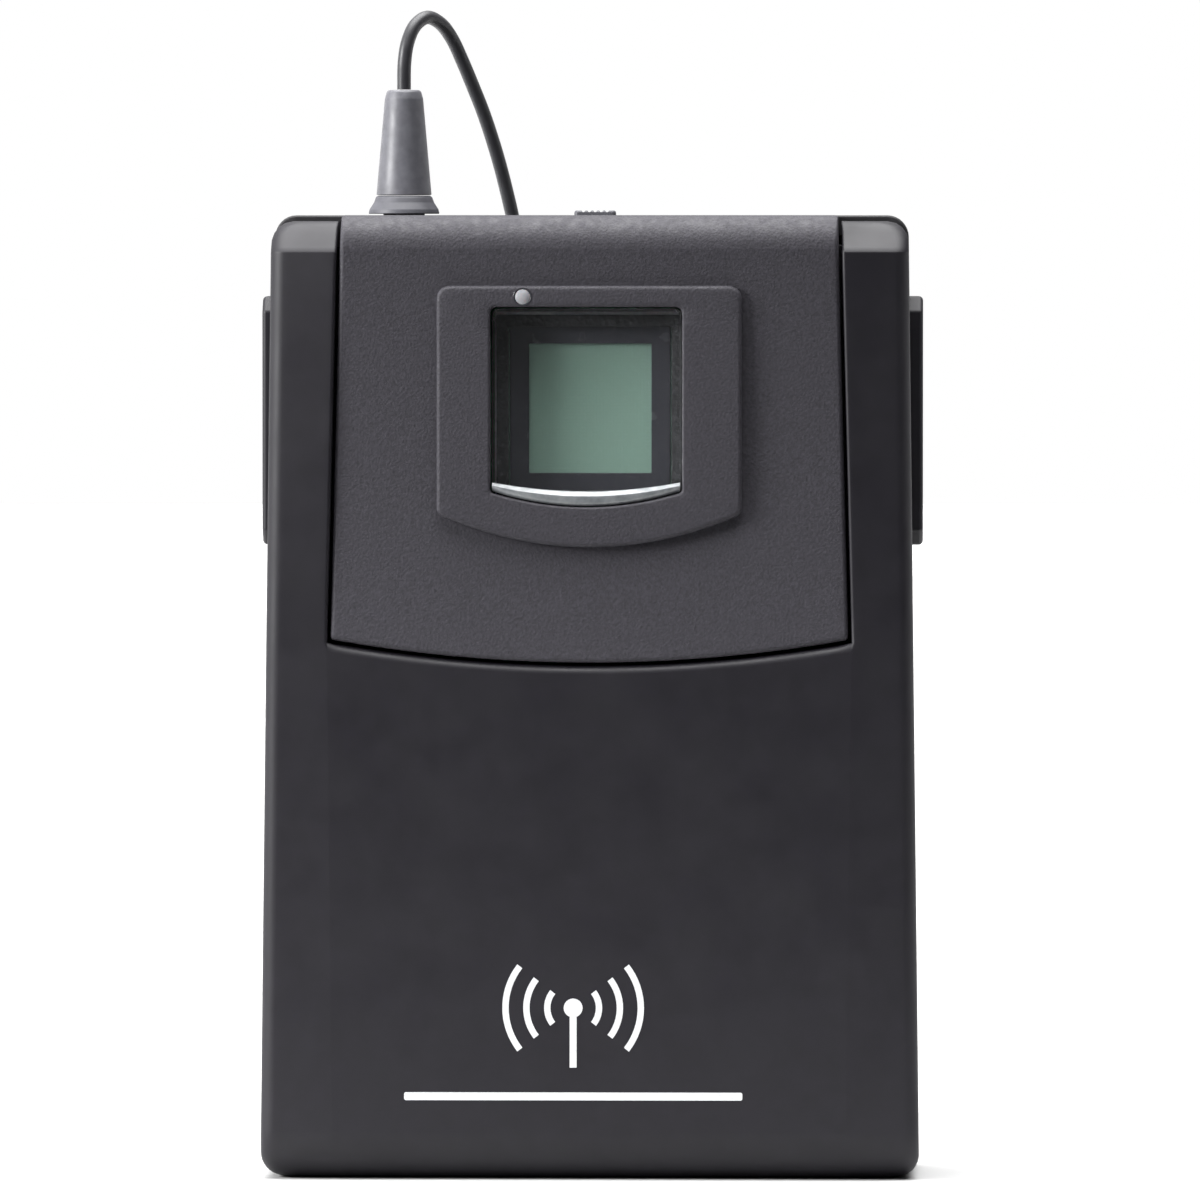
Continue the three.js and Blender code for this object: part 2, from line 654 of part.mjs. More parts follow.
function clipBlade() {
  const { pivotY, pivotZ, half, top, foot, inner, thick } = CLIP;
  const blade = solid(
    alongX(
      outline([
        [inner + 1.2, top, 0.7],
        [inner + 1.2 + thick, top, 0.7],
        [inner + thick + 0.3, pivotZ - 6, 4],
        [inner + thick + 0.3, foot + 9, 6],
        [BACK + 2.6, foot + 3.6, 1.6],
        [inner, foot, 0.45],
        [inner - 1.4, foot, 0.3],
        [BACK + 0.7, foot + 3.6, 1.2],
        [inner, foot + 9.6, 4],
        [inner, pivotZ - 6, 4],
      ]),
      -half, half, 2),
  );
  const plan = solid(alongY(rectangle(-half, half, foot - 1, top + 0.01, 3), 0, 40, 2));
  const knuckles = sides((sign) =>
    solid(
      alongX(
        outline([
          [pivotY - 1.75, pivotZ - 1.75, 1.6],
          [inner + 1.3, pivotZ - 3.5],
          [inner + 1.5, pivotZ + 3.5],
          [pivotY - 1.75, pivotZ + 1.75, 1.6],
        ]),
        ...span(sign * 3.6, sign * 6.9), 2),
    ),
  );
  return cut(
    union(blade.intersect(plan), ...knuckles),
    rod(1.15, 30, 'x', [-15, pivotY, pivotZ], 16),
  );
}

const clipPin = () => rod(0.95, 18.4, 'x', [-9.2, CLIP.pivotY, CLIP.pivotZ], 16);

// ---- Screws ----

const caseScrew = (shank) =>
  cut(
    turned(
      [[0, 0], [SCREW.radius - 0.15, 0], [SCREW.radius - 0.15, shank], [SCREW.head, shank],
        [SCREW.head, shank + 0.9], [SCREW.head - 0.5, shank + 1.3], [0, shank + 1.3]],
      'y', [0, 0, 0], 12),
    block(-1.1, 1.1, shank + 0.7, shank + 2, -0.2, 0.2),
    block(-0.2, 0.2, shank + 0.7, shank + 2, -1.1, 1.1),
  );

// ---- The assembly ----

add('rear_shell', rearShell(), FINISH.satin);
add('front_panel', frontPanel(), FINISH.textured);
add('battery_door', batteryDoor(), FINISH.satin);
add('battery_pad', block(-20, 20, -9.9, -9.4, 17, 37), FINISH.foam);
add('battery_tray', batteryTray(), FINISH.black);

add('battery_cell_1', cell(), FINISH.cell).position.set(-23.1, CELL.y, CELL.low);
const turnedCell = add('battery_cell_2', cell(), FINISH.cell);
turnedCell.position.set(23.1, CELL.y, CELL.high);
turnedCell.rotation.z = Math.PI;
const cellSpring = () => coil(0.3, 3.2, 3.6, 1.8, 3.7, 30);
add('battery_spring_1', cellSpring(), FINISH.steel).position.set(-27.2, CELL.y, CELL.low);
const turnedSpring = add('battery_spring_2', cellSpring(), FINISH.steel);
turnedSpring.position.set(27.2, CELL.y, CELL.high);
turnedSpring.rotation.z = Math.PI;
add('contact_plate_negative', contactPlate(CELL.low, 11), FINISH.nickel).position.x = -28.1;
add('contact_plate_positive', contactPlate(CELL.high, 11), FINISH.nickel).position.x = -28.1;
add('contact_bridge', contactPlate((CELL.low + CELL.high) / 2, 26.5), FINISH.nickel).position.x = 27.8;

add('display_window', displayWindow(), FINISH.lens);
add('display_gasket', frameAround(16.4, 16.4, 1.2, -9.2, -8.85), FINISH.foam);
add('display_mask', frameAround(LCD.width, LCD.height, 1.9, -8.5, -8.25), FINISH.black);
add('lcd_glass', plateBehind(16.6, 17, -8.1, -7), FINISH.lcd);
add('lcd_backlight', plateBehind(16.6, 17, -6.7, -4.5), FINISH.diffuser);
add('lcd_holder', frameAround(17.2, 17.6, 1, -8.75, -3.8), FINISH.diffuser);
add('led_lens', lightPipe(), FINISH.diffuser).position.set(LED.x, -12.3, LED.z);
add('display_board', displayBoard(), FINISH.board);
add('board_connector', block(8, 18, -2.25, BOARD.front - 0.05, 59, 62), FINISH.black);
add('main_board', mainBoard(), FINISH.board);
add('shield_can', shieldCan(), FINISH.nickel);

add('switch_body', block(-4, 7.4, 1.2, 6.8, 87.6, 93.1), FINISH.black);
add('switch_knob', powerKnob(), FINISH.black);
for (const { name, x } of KEYS) {
  add(name, keyCap(), FINISH.key).position.set(x, LEDGE.front - 0.8, LEDGE.z);
}
add('control_board', block(-22, 22, -3.2, -2, 44, 49.6), FINISH.board);
add('gain_switch_body', block(GAIN.x - 3, GAIN.x + 5, -6.3, -3.3, LEDGE.z - 2.4, LEDGE.z + 2), FINISH.steel);
add('gain_switch_knob', gainKnob(), FINISH.black).position.set(GAIN.x, 0, LEDGE.z);

add('mic_socket_shell', socketShell(), FINISH.nickel);
add('mic_socket_insert', socketInsert(), FINISH.black);
pinPlaces.forEach(([x, y], i) => {
  add(`mic_socket_pin_${i + 1}`, socketPin(), FINISH.gold).position.set(x, y, MIC.foot - 0.6);
});

add('antenna_ferrule', ferrule(), FINISH.black).position.set(AERIAL.x, AERIAL.y, 0);
add('antenna_nut', aerialNut(), FINISH.nickel).position.set(AERIAL.x, AERIAL.y, 0);
add('antenna_boot', boot(), FINISH.rubber).position.set(AERIAL.x, AERIAL.y, 0);
add('antenna_wire', aerialWire(), FINISH.rubber);
const [tipX, tipY, wireEnd] = WIRE_ROUTE.at(-1);
add('antenna_tip', aerialTip(), FINISH.rubber).position.set(tipX, tipY, wireEnd - 5.75);

add('catch_left', catchPiece(-1), FINISH.black);
add('catch_right', catchPiece(1), FINISH.black);
for (const [name, x] of [['catch_spring_left', -28.6], ['catch_spring_right', 25.4]]) {
  add(name, coil(0.25, 4.5, 1.9, 1.9, 3.2, 36), FINISH.steel).position.set(x, CATCH.y, CATCH.z - 8);
}

add('hinge_pin_left', rod(0.85, 4, 'x', [-32.1, DOOR.pivotY, DOOR.pivotZ], 24), FINISH.steel);
add('hinge_pin_right', rod(0.85, 4, 'x', [28.1, DOOR.pivotY, DOOR.pivotZ], 24), FINISH.steel);

add('clip_bracket', clipBracket(), FINISH.black);
add('clip_blade', clipBlade(), FINISH.steel);
add('clip_pin', clipPin(), FINISH.steel);
const clipSpring = coil(0.25, 5.5, 1.45, 1.45, 5.6, 44);
add('clip_spring', clipSpring, FINISH.steel).position.set(-2.8, CLIP.pivotY, CLIP.pivotZ);

const SCREW_PLACES = [
  ['case_screw_1', -SCREW.low[0], SCREW.low[1], 5],
  ['case_screw_2', SCREW.low[0], SCREW.low[1], 5],
  ['case_screw_3', -SCREW.high[0], SCREW.high[1], 13],
  ['case_screw_4', SCREW.high[0], SCREW.high[1], 13],
];
for (const [name, x, z, shank] of SCREW_PLACES) {
  add(name, caseScrew(shank), FINISH.steel).position.set(x, BACK - 1.65 - shank, z);
}
for (const [name, x] of [['clip_screw_1', -5.2], ['clip_screw_2', 5.2]]) {
  add(name, caseScrew(2.6), FINISH.steel).position.set(x, BACK - 1.2, 44);
}

export default group;
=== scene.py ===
import math

import bmesh
import bpy
import numpy as np
from bpy.props import FloatProperty, FloatVectorProperty, PointerProperty
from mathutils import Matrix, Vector


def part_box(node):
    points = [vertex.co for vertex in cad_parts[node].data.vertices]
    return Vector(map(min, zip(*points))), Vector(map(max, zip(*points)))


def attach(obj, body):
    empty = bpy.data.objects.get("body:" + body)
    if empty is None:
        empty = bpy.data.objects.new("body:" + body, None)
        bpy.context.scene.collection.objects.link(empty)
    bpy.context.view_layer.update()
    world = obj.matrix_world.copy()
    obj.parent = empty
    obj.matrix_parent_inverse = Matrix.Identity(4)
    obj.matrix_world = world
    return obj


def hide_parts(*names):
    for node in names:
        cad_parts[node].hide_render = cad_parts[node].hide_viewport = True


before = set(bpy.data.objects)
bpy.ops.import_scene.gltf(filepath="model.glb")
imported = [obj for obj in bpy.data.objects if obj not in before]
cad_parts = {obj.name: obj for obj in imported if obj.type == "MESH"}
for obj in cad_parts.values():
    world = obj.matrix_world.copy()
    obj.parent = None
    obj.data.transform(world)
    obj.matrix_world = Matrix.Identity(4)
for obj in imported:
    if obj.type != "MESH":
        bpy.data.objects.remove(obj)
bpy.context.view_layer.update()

bl_info = {
    "name": "Bodypack transmitter",
    "version": (1, 0, 0),
    "blender": (4, 5, 0),
    "location": "View3D > Sidebar > Bodypack",
    "description": "Fine surfaces and finishes for a wireless bodypack transmitter",
    "category": "Object",
}

MM = 0.001
WELD = 0.002  # mm: points nearer than this are one
SHARP = 32.0  # degrees: edges that turn more than this stay sharp


# ---- Sizes, in millimetres, worked out from the frame ----


def box(node):
    """The lowest and highest corner of a node, in millimetres."""
    low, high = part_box(node)
    return np.array(low) / MM, np.array(high) / MM


def middle(node):
    low, high = box(node)
    return (low + high) / 2


SHELL, PANEL, DOOR = box("rear_shell"), box("front_panel"), box("battery_door")
HALF = SHELL[1][0]  # at the foot
HEIGHT = SHELL[1][2]
BACK = SHELL[1][1]
FRONT = DOOR[0][1]
PAD_FACE = PANEL[0][1]
DOOR_TOP = DOOR[1][2]
DOOR_REAR = DOOR[1][1]
PANEL_FOOT = PANEL[0][2]  # the lowest point of its curved foot
HINGE = middle("hinge_pin_left")[1:]  # y and z of the door's hinge
ROLL = HINGE[0] - FRONT  # radius of the door's rolled foot, about the hinge
SWEEP = ROLL + 0.6  # what stays put keeps this far from the hinge
TAPER = 1.15  # how much narrower each side is at the top
WALL = 2.0
SEAM = 0.35  # the gap between panel and door
DISH = 0.6  # how deep the panel's face is hollowed
SHELL_FRONT = -1.75
PANEL_REAR = -1.8
PANEL_HALF = 26.0  # at the ends of its curved foot
PANEL_LEAN = -0.0252  # its sides draw in by this much for each millimetre of height
PANEL_SAG = 2.3
PANEL_ENDS = PANEL_FOOT + PANEL_SAG
PAD = {"x": 0.0, "half": 15.3, "top": 89.9, "ends": 67.0, "sag": 3.3}
WINDOW = {"x": -0.3, "half": 9.65, "top": 87.8, "ends": 69.2, "sag": 1.5}
CORNER = {"foot": 2.6, "top": 2.2}
CREASE = {"foot": 0.35, "top": 1.1}  # how far the door's side strips slope back
CATCH = box("catch_right")
CATCH_Z = 76.2  # the middle of the catches
CLIP_PIN = middle("clip_pin")


def sized(name, description, size):
    """A length that a user may change, given in millimetres."""
    return FloatProperty(name=name, description=description, default=size * MM, unit="LENGTH")


class BodypackSizes(bpy.types.PropertyGroup):
    """Edge sizes that a user may change."""

    side_edge: sized("Side edge", "Radius of the door's upright front edges", 1.4)
    arc_edge: sized("Arc edge", "Radius of the door's edge under the panel", 0.9)
    panel_edge: sized("Panel edge", "Radius of the panel's sides and foot", 0.45)
    top_edge: sized("Top edge", "Radius of the case's front top edge", 3.3)
    pad_edge: sized("Pad edge", "Radius of the raised pad's edge", 0.4)
    grain: sized("Grain", "Size of the panel's moulded grain", 0.32)


# ---- Colours ----


def linear(code):
    """An sRGB colour such as #4b4a4f as linear red, green and blue."""
    values = np.array([int(code[i : i + 2], 16) for i in (1, 3, 5)]) / 255
    return tuple(np.where(values <= 0.04045, values / 12.92, ((values + 0.055) / 1.055) ** 2.4))


def colour(name, description, code):
    """A colour that a user may change."""
    return FloatVectorProperty(
        name=name, description=description, subtype="COLOR", size=3, default=linear(code))


class BodypackColours(bpy.types.PropertyGroup):
    """Colours that a user may change."""

    panel: colour("Panel", "Textured display panel", "#312f36")
    door: colour("Door", "Satin battery door", "#16141b")
    shell: colour("Rear shell", "Satin rear shell", "#1e1d20")
    inside: colour("Inside", "Moulded parts inside the case", "#19191b")
    screen: colour("Screen", "Unlit liquid crystal", "#6e867b")
    rubber: colour("Boot", "Rubber boot of the aerial", "#5c5c62")
    sheath: colour("Sheath", "Sheath of the aerial wire", "#2b2b2f")
    grey: colour("Grey plastic", "Aerial nut cover and switch knob", "#55555b")
    board: colour("Circuit board", "Solder mask", "#1c5a37")
    keys: colour("Keys", "Setting keys", "#8b8c90")
    sleeve: colour("Cells", "Sleeve of the cells", "#5d6a75")
    ink: colour("Ink", "Printed sign on the door", "#e9eaec")


def sizes():
    return bpy.context.scene.bodypack_sizes


def in_mm(name):
    """One of the user's sizes, in millimetres."""
    return getattr(sizes(), name) / MM


def tint(name, share=1.0):
    """One of the user's colours, made lighter or darker."""
    return tuple(share * c for c in getattr(bpy.context.scene.bodypack_colours, name)) + (1.0,)


# ---- Surfaces as grids of points ----


def arc(start, stop, steps):
    return np.radians(np.linspace(start, stop, steps))


def grid_quads(rows, columns, first=0):
    """The corner numbers of a grid's quads."""
    corner = np.arange(rows * columns).reshape(rows, columns) + first
    around = (corner[:-1, :-1], corner[:-1, 1:], corner[1:, 1:], corner[1:, :-1])
    return np.stack(around, -1).reshape(-1, 4)


def surface(grid):
    """A grid of points (rows, columns, 3) as points and quads."""
    return grid.reshape(-1, 3), grid_quads(*grid.shape[:2])


def walled(patches):
    """A wall from patches, each an outer and an inner grid of matching points. The outer points that meet
    become one, and every edge that only one quad uses gets a strip to the same edge of the inner sheet."""
    outer = np.concatenate([grid.reshape(-1, 3) for grid, _ in patches])
    inner = np.concatenate([grid.reshape(-1, 3) for _, grid in patches])
    firsts = np.cumsum([0] + [grid.shape[0] * grid.shape[1] for grid, _ in patches])
    quads = np.concatenate([grid_quads(*grid.shape[:2], first) for (grid, _), first in zip(patches, firsts)])
    keys = np.round(outer / WELD).astype(np.int64)
    number = np.unique(keys, axis=0, return_inverse=True)[1].reshape(-1)
    real = (np.diff(np.sort(number[quads], 1), axis=1) > 0).sum(1) >= 2
    quads = quads[real]
    edges = np.concatenate([quads[:, [i, (i + 1) % 4]] for i in range(4)])
    ends = number[edges]
    edges, ends = edges[ends[:, 0] != ends[:, 1]], ends[ends[:, 0] != ends[:, 1]]
    _, place, uses = np.unique(np.sort(ends, 1), axis=0, return_index=True, return_counts=True)
    rim = edges[place[uses == 1]]
    strip = np.stack([rim[:, 1], rim[:, 0], rim[:, 0] + len(outer), rim[:, 1] + len(outer)], 1)
    points = np.concatenate([outer, inner])
    return points, np.concatenate([quads, quads[:, ::-1] + len(outer), strip])


def outline(corners, steps=6, closed=True):
    """Points along the straight lines through corners (u, v, radius), each corner rounded by a true arc:
    the arc's middle is on the line that halves the corner, radius / sin(half the corner) away."""
    corners = [tuple(c) + (0.0,) * (3 - len(c)) for c in corners]
    points = []
    for i, (u, v, radius) in enumerate(corners):
        here = np.array([u, v])
        if radius == 0 or (not closed and i in (0, len(corners) - 1)):
            points.append(here[None])
            continue
        back = np.array(corners[i - 1][:2]) - here
        ahead = np.array(corners[(i + 1) % len(corners)][:2]) - here
        back, ahead = back / np.linalg.norm(back), ahead / np.linalg.norm(ahead)
        half = math.acos(np.clip(back @ ahead, -1, 1)) / 2
        centre = here + (back + ahead) / np.linalg.norm(back + ahead) * radius / math.sin(half)
        start = here + back * radius / math.tan(half) - centre
        turn = math.pi - 2 * half
        side = -np.sign(back[0] * ahead[1] - back[1] * ahead[0])
        angle = np.linspace(0, turn * side, steps)[:, None]
        across = np.array([-start[1], start[0]])
        points.append(centre + start * np.cos(angle) + across * np.sin(angle))
    return np.concatenate(points)


def laid(u, v, w, axis):
    """Points from two coordinates across an axis and one along it."""
    u, v, w = np.broadcast_arrays(u, v, w)
    order = {"x": (w, u, v), "y": (u, w, v), "z": (u, v, w)}[axis]
    return np.stack(order, -1)


def turned(profile, place, axis, count=40):
    """A round solid: the profile's (radius, height) points, swung round the axis through place."""
    profile = np.asarray(profile, float)
    angle = np.linspace(0, 2 * math.pi, count + 1)[:, None]
    radius, height = profile[None, :, 0], profile[None, :, 1]
    rings = laid(radius * np.cos(angle), radius * np.sin(angle), height, axis)
    return surface(rings + np.asarray(place, float))


def rod(radius, length, place, axis, edge=0.1, count=32):
    """A round bar with its two rims rounded."""
    profile = outline([(0, 0), (radius, 0, edge), (radius, length, edge), (0, length)], 4, False)
    return turned(profile, place, axis, count)


def outward(points):
    """At each point of a closed outline that runs anticlockwise, the unit direction out of it."""
    run = np.roll(points, -1, 0) - np.roll(points, 1, 0)
    run /= np.maximum(np.linalg.norm(run, axis=1, keepdims=True), 1e-9)
    return np.stack([run[:, 1], -run[:, 0]], 1)


def slab(points, low, high, axis, edge=0.2, steps=4):
    """An outline carried along an axis, with both rims rounded by a quarter circle: on the way round it the
    outline draws in by radius * (1 - sin) while its height falls by radius * (1 - cos). The flat ends close
    on the middle of the outline, so the outline has to be seen whole from there."""
    points = points[np.linalg.norm(points - np.roll(points, 1, 0), axis=1) > 1e-6]
    turn_way = np.sum(points[:, 0] * np.roll(points[:, 1], -1) - points[:, 1] * np.roll(points[:, 0], -1))
    points = points if turn_way > 0 else points[::-1]
    out = outward(points)
    centre = points.mean(0)
    turn = arc(90, 0, steps)
    draw = edge * (1 - np.cos(turn)) if edge else np.zeros(1)
    drop = edge * (1 - np.sin(turn)) if edge else np.zeros(1)
    draws = np.concatenate([draw, draw[::-1]])
    heights = np.concatenate([low + drop, high - drop[::-1]])
    rings = points[None] - out[None] * draws[:, None, None]
    middle_ring = np.tile(centre, (1, len(points), 1))
    rings = np.concatenate([middle_ring, rings, middle_ring])
    heights = np.concatenate([[low], heights, [high]])
    rings = np.concatenate([rings, rings[:, :1]], 1)
    return surface(laid(rings[..., 0], rings[..., 1], heights[:, None], axis))


def rectangle(u0, u1, v0, v1, radius=0.3, steps=5):
    return outline([(u0, v0, radius), (u1, v0, radius), (u1, v1, radius), (u0, v1, radius)], steps)


def brick(x0, x1, y0, y1, z0, z1, edge=0.2, axis="y", corner=None):
    """A box with rounded edges."""
    corner = edge if corner is None else corner
    x, y, z = (x0, x1), (y0, y1), (z0, z1)
    across, up, along = {"x": (y, z, x), "y": (x, z, y), "z": (x, y, z)}[axis]
    return slab(rectangle(*across, *up, corner), *along, axis, edge)


def mirrored(part):
    """The same closed surface on the other side of the case."""
    points, quads = part
    return points * np.array([-1, 1, 1]), quads[:, ::-1]


def carried(path, wide, tall, upright, count=16, power=2.0):
    """A section carried along a path: at each point an oval of half widths wide and tall, or with a higher
    power a rounded rectangle, |u/wide|^power + |v/tall|^power = 1, across the path's own direction."""
    path = np.asarray(path, float)
    run = np.gradient(path, axis=0)
    run /= np.linalg.norm(run, axis=1, keepdims=True)
    across = np.cross(run, np.broadcast_to(upright, run.shape))
    across /= np.linalg.norm(across, axis=1, keepdims=True)
    over = np.cross(across, run)
    angle = np.linspace(0, 2 * math.pi, count + 1)
    cos, sin = np.cos(angle), np.sin(angle)
    u = np.sign(cos) * np.abs(cos) ** (2 / power)
    v = np.sign(sin) * np.abs(sin) ** (2 / power)
    wide = np.broadcast_to(wide, len(path))[:, None, None]
    tall = np.broadcast_to(tall, len(path))[:, None, None]
    rings = path[:, None] + across[:, None] * u[:, None] * wide + over[:, None] * v[:, None] * tall
    ends = [np.tile(path[i], (1, count + 1, 1)) for i in (0, -1)]
    return surface(np.concatenate([ends[0], rings, ends[1]]))


def helix(turns, start, end, length, place, flip=1.0, per_turn=20):
    """The middle line of a coil along X: its radius goes evenly from start to end."""
    t = np.linspace(0, 1, int(turns * per_turn) + 1)
    angle = 2 * math.pi * turns * t
    radius = start + (end - start) * t
    line = np.stack([flip * length * t, radius * np.cos(angle), flip * radius * np.sin(angle)], 1)
    return line + np.asarray(place, float)


# ---- Pieces ----


def mesh_object(name, parts):
    """A mesh object from closed surfaces in millimetres."""
    whole = bmesh.new()
    for points, quads in parts:
        part = bpy.data.meshes.new("part")
        part.from_pydata((points * MM).tolist(), [], quads.tolist())
        tidy(part)
        whole.from_mesh(part)
        bpy.data.meshes.remove(part)
    mesh = bpy.data.meshes.new(name)
    whole.to_mesh(mesh)
    whole.free()
    thing = bpy.data.objects.new(name, mesh)
    bpy.context.scene.collection.objects.link(thing)
    return thing


def tidy(mesh, flat=False):
    """Merges the points that coincide, which drops empty faces, and turns the rest outwards: first all one
    way, and then round if the space they close in comes out negative."""
    shape = bmesh.new()
    shape.from_mesh(mesh)
    bmesh.ops.remove_doubles(shape, verts=shape.verts, dist=WELD * MM)
    if flat:
        bmesh.ops.dissolve_limit(shape, angle_limit=math.radians(0.5), verts=shape.verts, edges=shape.edges)
    bmesh.ops.recalc_face_normals(shape, faces=shape.faces)
    if shape.calc_volume(signed=True) < 0:
        bmesh.ops.reverse_faces(shape, faces=shape.faces)
    shape.to_mesh(mesh)
    shape.free()
    mesh.validate()
    mesh.update()


def carve(thing, tools):
    """Cuts closed surfaces out of a piece, and keeps the result as its mesh."""
    tool = mesh_object("tool", tools)
    cut = thing.modifiers.new("cut", "BOOLEAN")
    cut.operation = "DIFFERENCE"
    cut.solver = "EXACT"
    cut.use_self = True
    cut.object = tool
    bpy.context.view_layer.update()
    whole = thing.data
    thing.data = bpy.data.meshes.new_from_object(thing.evaluated_get(bpy.context.evaluated_depsgraph_get()))
    thing.data.name = thing.name
    thing.modifiers.clear()
    bpy.data.meshes.remove(whole)
    bpy.data.objects.remove(tool)


def finished(thing, kind, body, nodes=(), edge=None):
    """Smooth shading with sharp edges kept, or with every edge rounded, one kind of finish, and the piece's
    place in the frame."""
    mesh = thing.data
    mesh.materials.clear()
    mesh.materials.append(finish(kind))
    mesh.polygons.foreach_set("use_smooth", np.ones(len(mesh.polygons), bool))
    mesh.polygons.foreach_set("material_index", np.zeros(len(mesh.polygons), np.int32))
    if edge is None:
        mesh.set_sharp_from_angle(angle=math.radians(SHARP))
    else:
        bevel = thing.modifiers.new("round", "BEVEL")
        bevel.width = edge * MM
        bevel.segments = 2
        bevel.limit_method = "ANGLE"
        bevel.angle_limit = math.radians(40)
        bevel.use_clamp_overlap = True
    even = thing.modifiers.new("even_normals", "WEIGHTED_NORMAL")
    even.keep_sharp = True
    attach(thing, body)
    if nodes:
        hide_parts(*nodes)
    return thing


def new_piece(name, parts, kind, body, nodes=(), tools=()):
    """A piece from closed surfaces, with others cut out of it, that stands for some of the frame's nodes."""
    thing = mesh_object(name, parts)
    if tools:
        carve(thing, tools)
    return finished(thing, kind, body, nodes)


def softened(node, kind, body="case", width=0.15):
    """A copy of a node's mesh with its points merged, its flat faces whole and its edges rounded."""
    thing = bpy.data.objects.new(node + "_fine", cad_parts[node].data.copy())
    bpy.context.scene.collection.objects.link(thing)
    tidy(thing.data, flat=True)
    for name in [layer.name for layer in thing.data.uv_layers]:
        thing.data.uv_layers.remove(thing.data.uv_layers[name])
    return finished(thing, kind, body, [node], width)


# ---- Finishes ----


def add_node(tree, kind, sockets=None, **settings):
    """One node with its settings. Each of its sockets is set to a value or linked from another socket."""
    node = tree.nodes.new(kind)
    for name, value in settings.items():
        setattr(node, name, value)
    for name, value in (sockets or {}).items():
        if isinstance(value, bpy.types.NodeSocket):
            tree.links.new(value, node.inputs[name])
        else:
            node.inputs[name].default_value = value
    return node


def grain_scale(size):
    """A pattern's scale from the size of its grain in millimetres."""
    return 1 / (size * MM)


def blank(name):
    """A material with an empty tree, and the object's own coordinates to start from."""
    material = bpy.data.materials.new(name)
    material.use_nodes = True
    tree = material.node_tree
    tree.nodes.clear()
    place = add_node(tree, "ShaderNodeTexCoord").outputs["Object"]
    return material, tree, place


def closed(material, **sockets):
    """Ends a material with one shader. A socket's name is written with underscores for its spaces."""
    tree = material.node_tree
    sockets = {name.replace("_", " "): value for name, value in sockets.items()}
    shader = add_node(tree, "ShaderNodeBsdfPrincipled", sockets)
    add_node(tree, "ShaderNodeOutputMaterial", {"Surface": shader.outputs["BSDF"]})
    return material


def noise(tree, place, size, detail=3.0, **more):
    """A wandering number over patches of a size in millimetres."""
    sockets = {"Vector": place, "Scale": grain_scale(size), "Detail": detail, **more}
    return add_node(tree, "ShaderNodeTexNoise", sockets).outputs["Fac"]


def cells(tree, place, size, **settings):
    """The distance from the nearest of many points, a size in millimetres apart."""
    sockets = {"Vector": place, "Scale": grain_scale(size)}
    return add_node(tree, "ShaderNodeTexVoronoi", sockets, **settings).outputs["Distance"]


def raised(tree, height, strength, depth):
    """Normals for a pattern that stands proud by a depth in millimetres."""
    sockets = {"Height": height, "Strength": strength, "Distance": depth * MM}
    return add_node(tree, "ShaderNodeBump", sockets).outputs["Normal"]


def ramped(tree, value, low, high):
    """A colour from a number: low and high are (position, colour)."""
    node = add_node(tree, "ShaderNodeValToRGB", {"Fac": value})
    for element, (position, shade) in zip(node.color_ramp.elements, (low, high)):
        element.position, element.color = position, shade
    return node.outputs["Color"]


def mottled(tree, place, size, low, high):
    """A colour that wanders between two, over patches of a size in millimetres."""
    return ramped(tree, noise(tree, place, size), (0.3, low), (0.7, high))


def ranged(tree, place, size, low, high):
    """A number that wanders between two, over patches of a size in millimetres."""
    limits = {"From Min": 0.3, "From Max": 0.7, "To Min": low, "To Max": high}
    node = add_node(tree, "ShaderNodeMapRange", {"Value": noise(tree, place, size, 2.0), **limits})
    return node.outputs["Result"]


def opaque(code):
    """An sRGB colour as a shader takes it."""
    return (*linear(code), 1)


def textured_abs():
    """Moulded ABS with a spark-eroded grain: matte, a little lighter than the satin parts, and speckled by a
    painted sheen:
    lighter and darker colour flecks that stand for each grain's side catching the light. The grain is drawn
    slightly coarser than life to show."""
    material, tree, place = blank("textured_moulded_abs")
    size = in_mm("grain")
    cloud = noise(tree, place, size, 2.5, Roughness=0.6)
    height = add_node(tree, "ShaderNodeMath", {0: cloud, 1: cells(tree, place, size * 0.8)}, operation="ADD")
    # painted sheen: the colour flecks follow the grain's cloud, lighter and darker as each grain's side would
    # catch the light
    speckle = ramped(tree, cloud, (0.32, tint("panel", 0.72)), (0.68, tint("panel", 1.25)))
    return closed(
        material, Base_Color=speckle, Roughness=ranged(tree, place, size * 3, 0.6, 0.75), IOR=1.53,
        Normal=raised(tree, height.outputs["Value"], 0.5, 0.05))


def satin_abs(name, shade, rough):
    """Moulded ABS from a lightly blasted tool: satin, with a soft wide highlight and a faint unevenness."""
    material, tree, place = blank(name)
    return closed(
        material, Base_Color=mottled(tree, place, 1.6, tint(shade, 0.86), tint(shade, 1.12)),
        Roughness=ranged(tree, place, 5.0, *rough), IOR=1.53, Specular_IOR_Level=0.4,
        Normal=raised(tree, noise(tree, place, 0.3), 0.18, 0.02))


def clear_acrylic():
    """Polished acrylic: clear, with a sharp reflection, and very faint rub marks in its roughness."""
    material, tree, place = blank("polished_clear_acrylic")
    return closed(
        material, Base_Color=(0.93, 0.95, 0.95, 1), Roughness=ranged(tree, place, 1.5, 0.02, 0.06), IOR=1.49,
        Transmission_Weight=1.0)


def acrylic_painted_reflection():
    """The lens's bevelled foot: an opaque light grey that is a painted reflection, standing for the bright
    overhead light mirrored in the clear bevel.
    """
    material, tree, place = blank("bevelled_acrylic_edge")
    return closed(
        material, Base_Color=mottled(tree, place, 0.9, opaque("#787c80"), opaque("#94989a")),
        Roughness=ranged(tree, place, 0.8, 0.12, 0.22), IOR=1.49, Coat_Weight=0.6, Coat_Roughness=0.06)


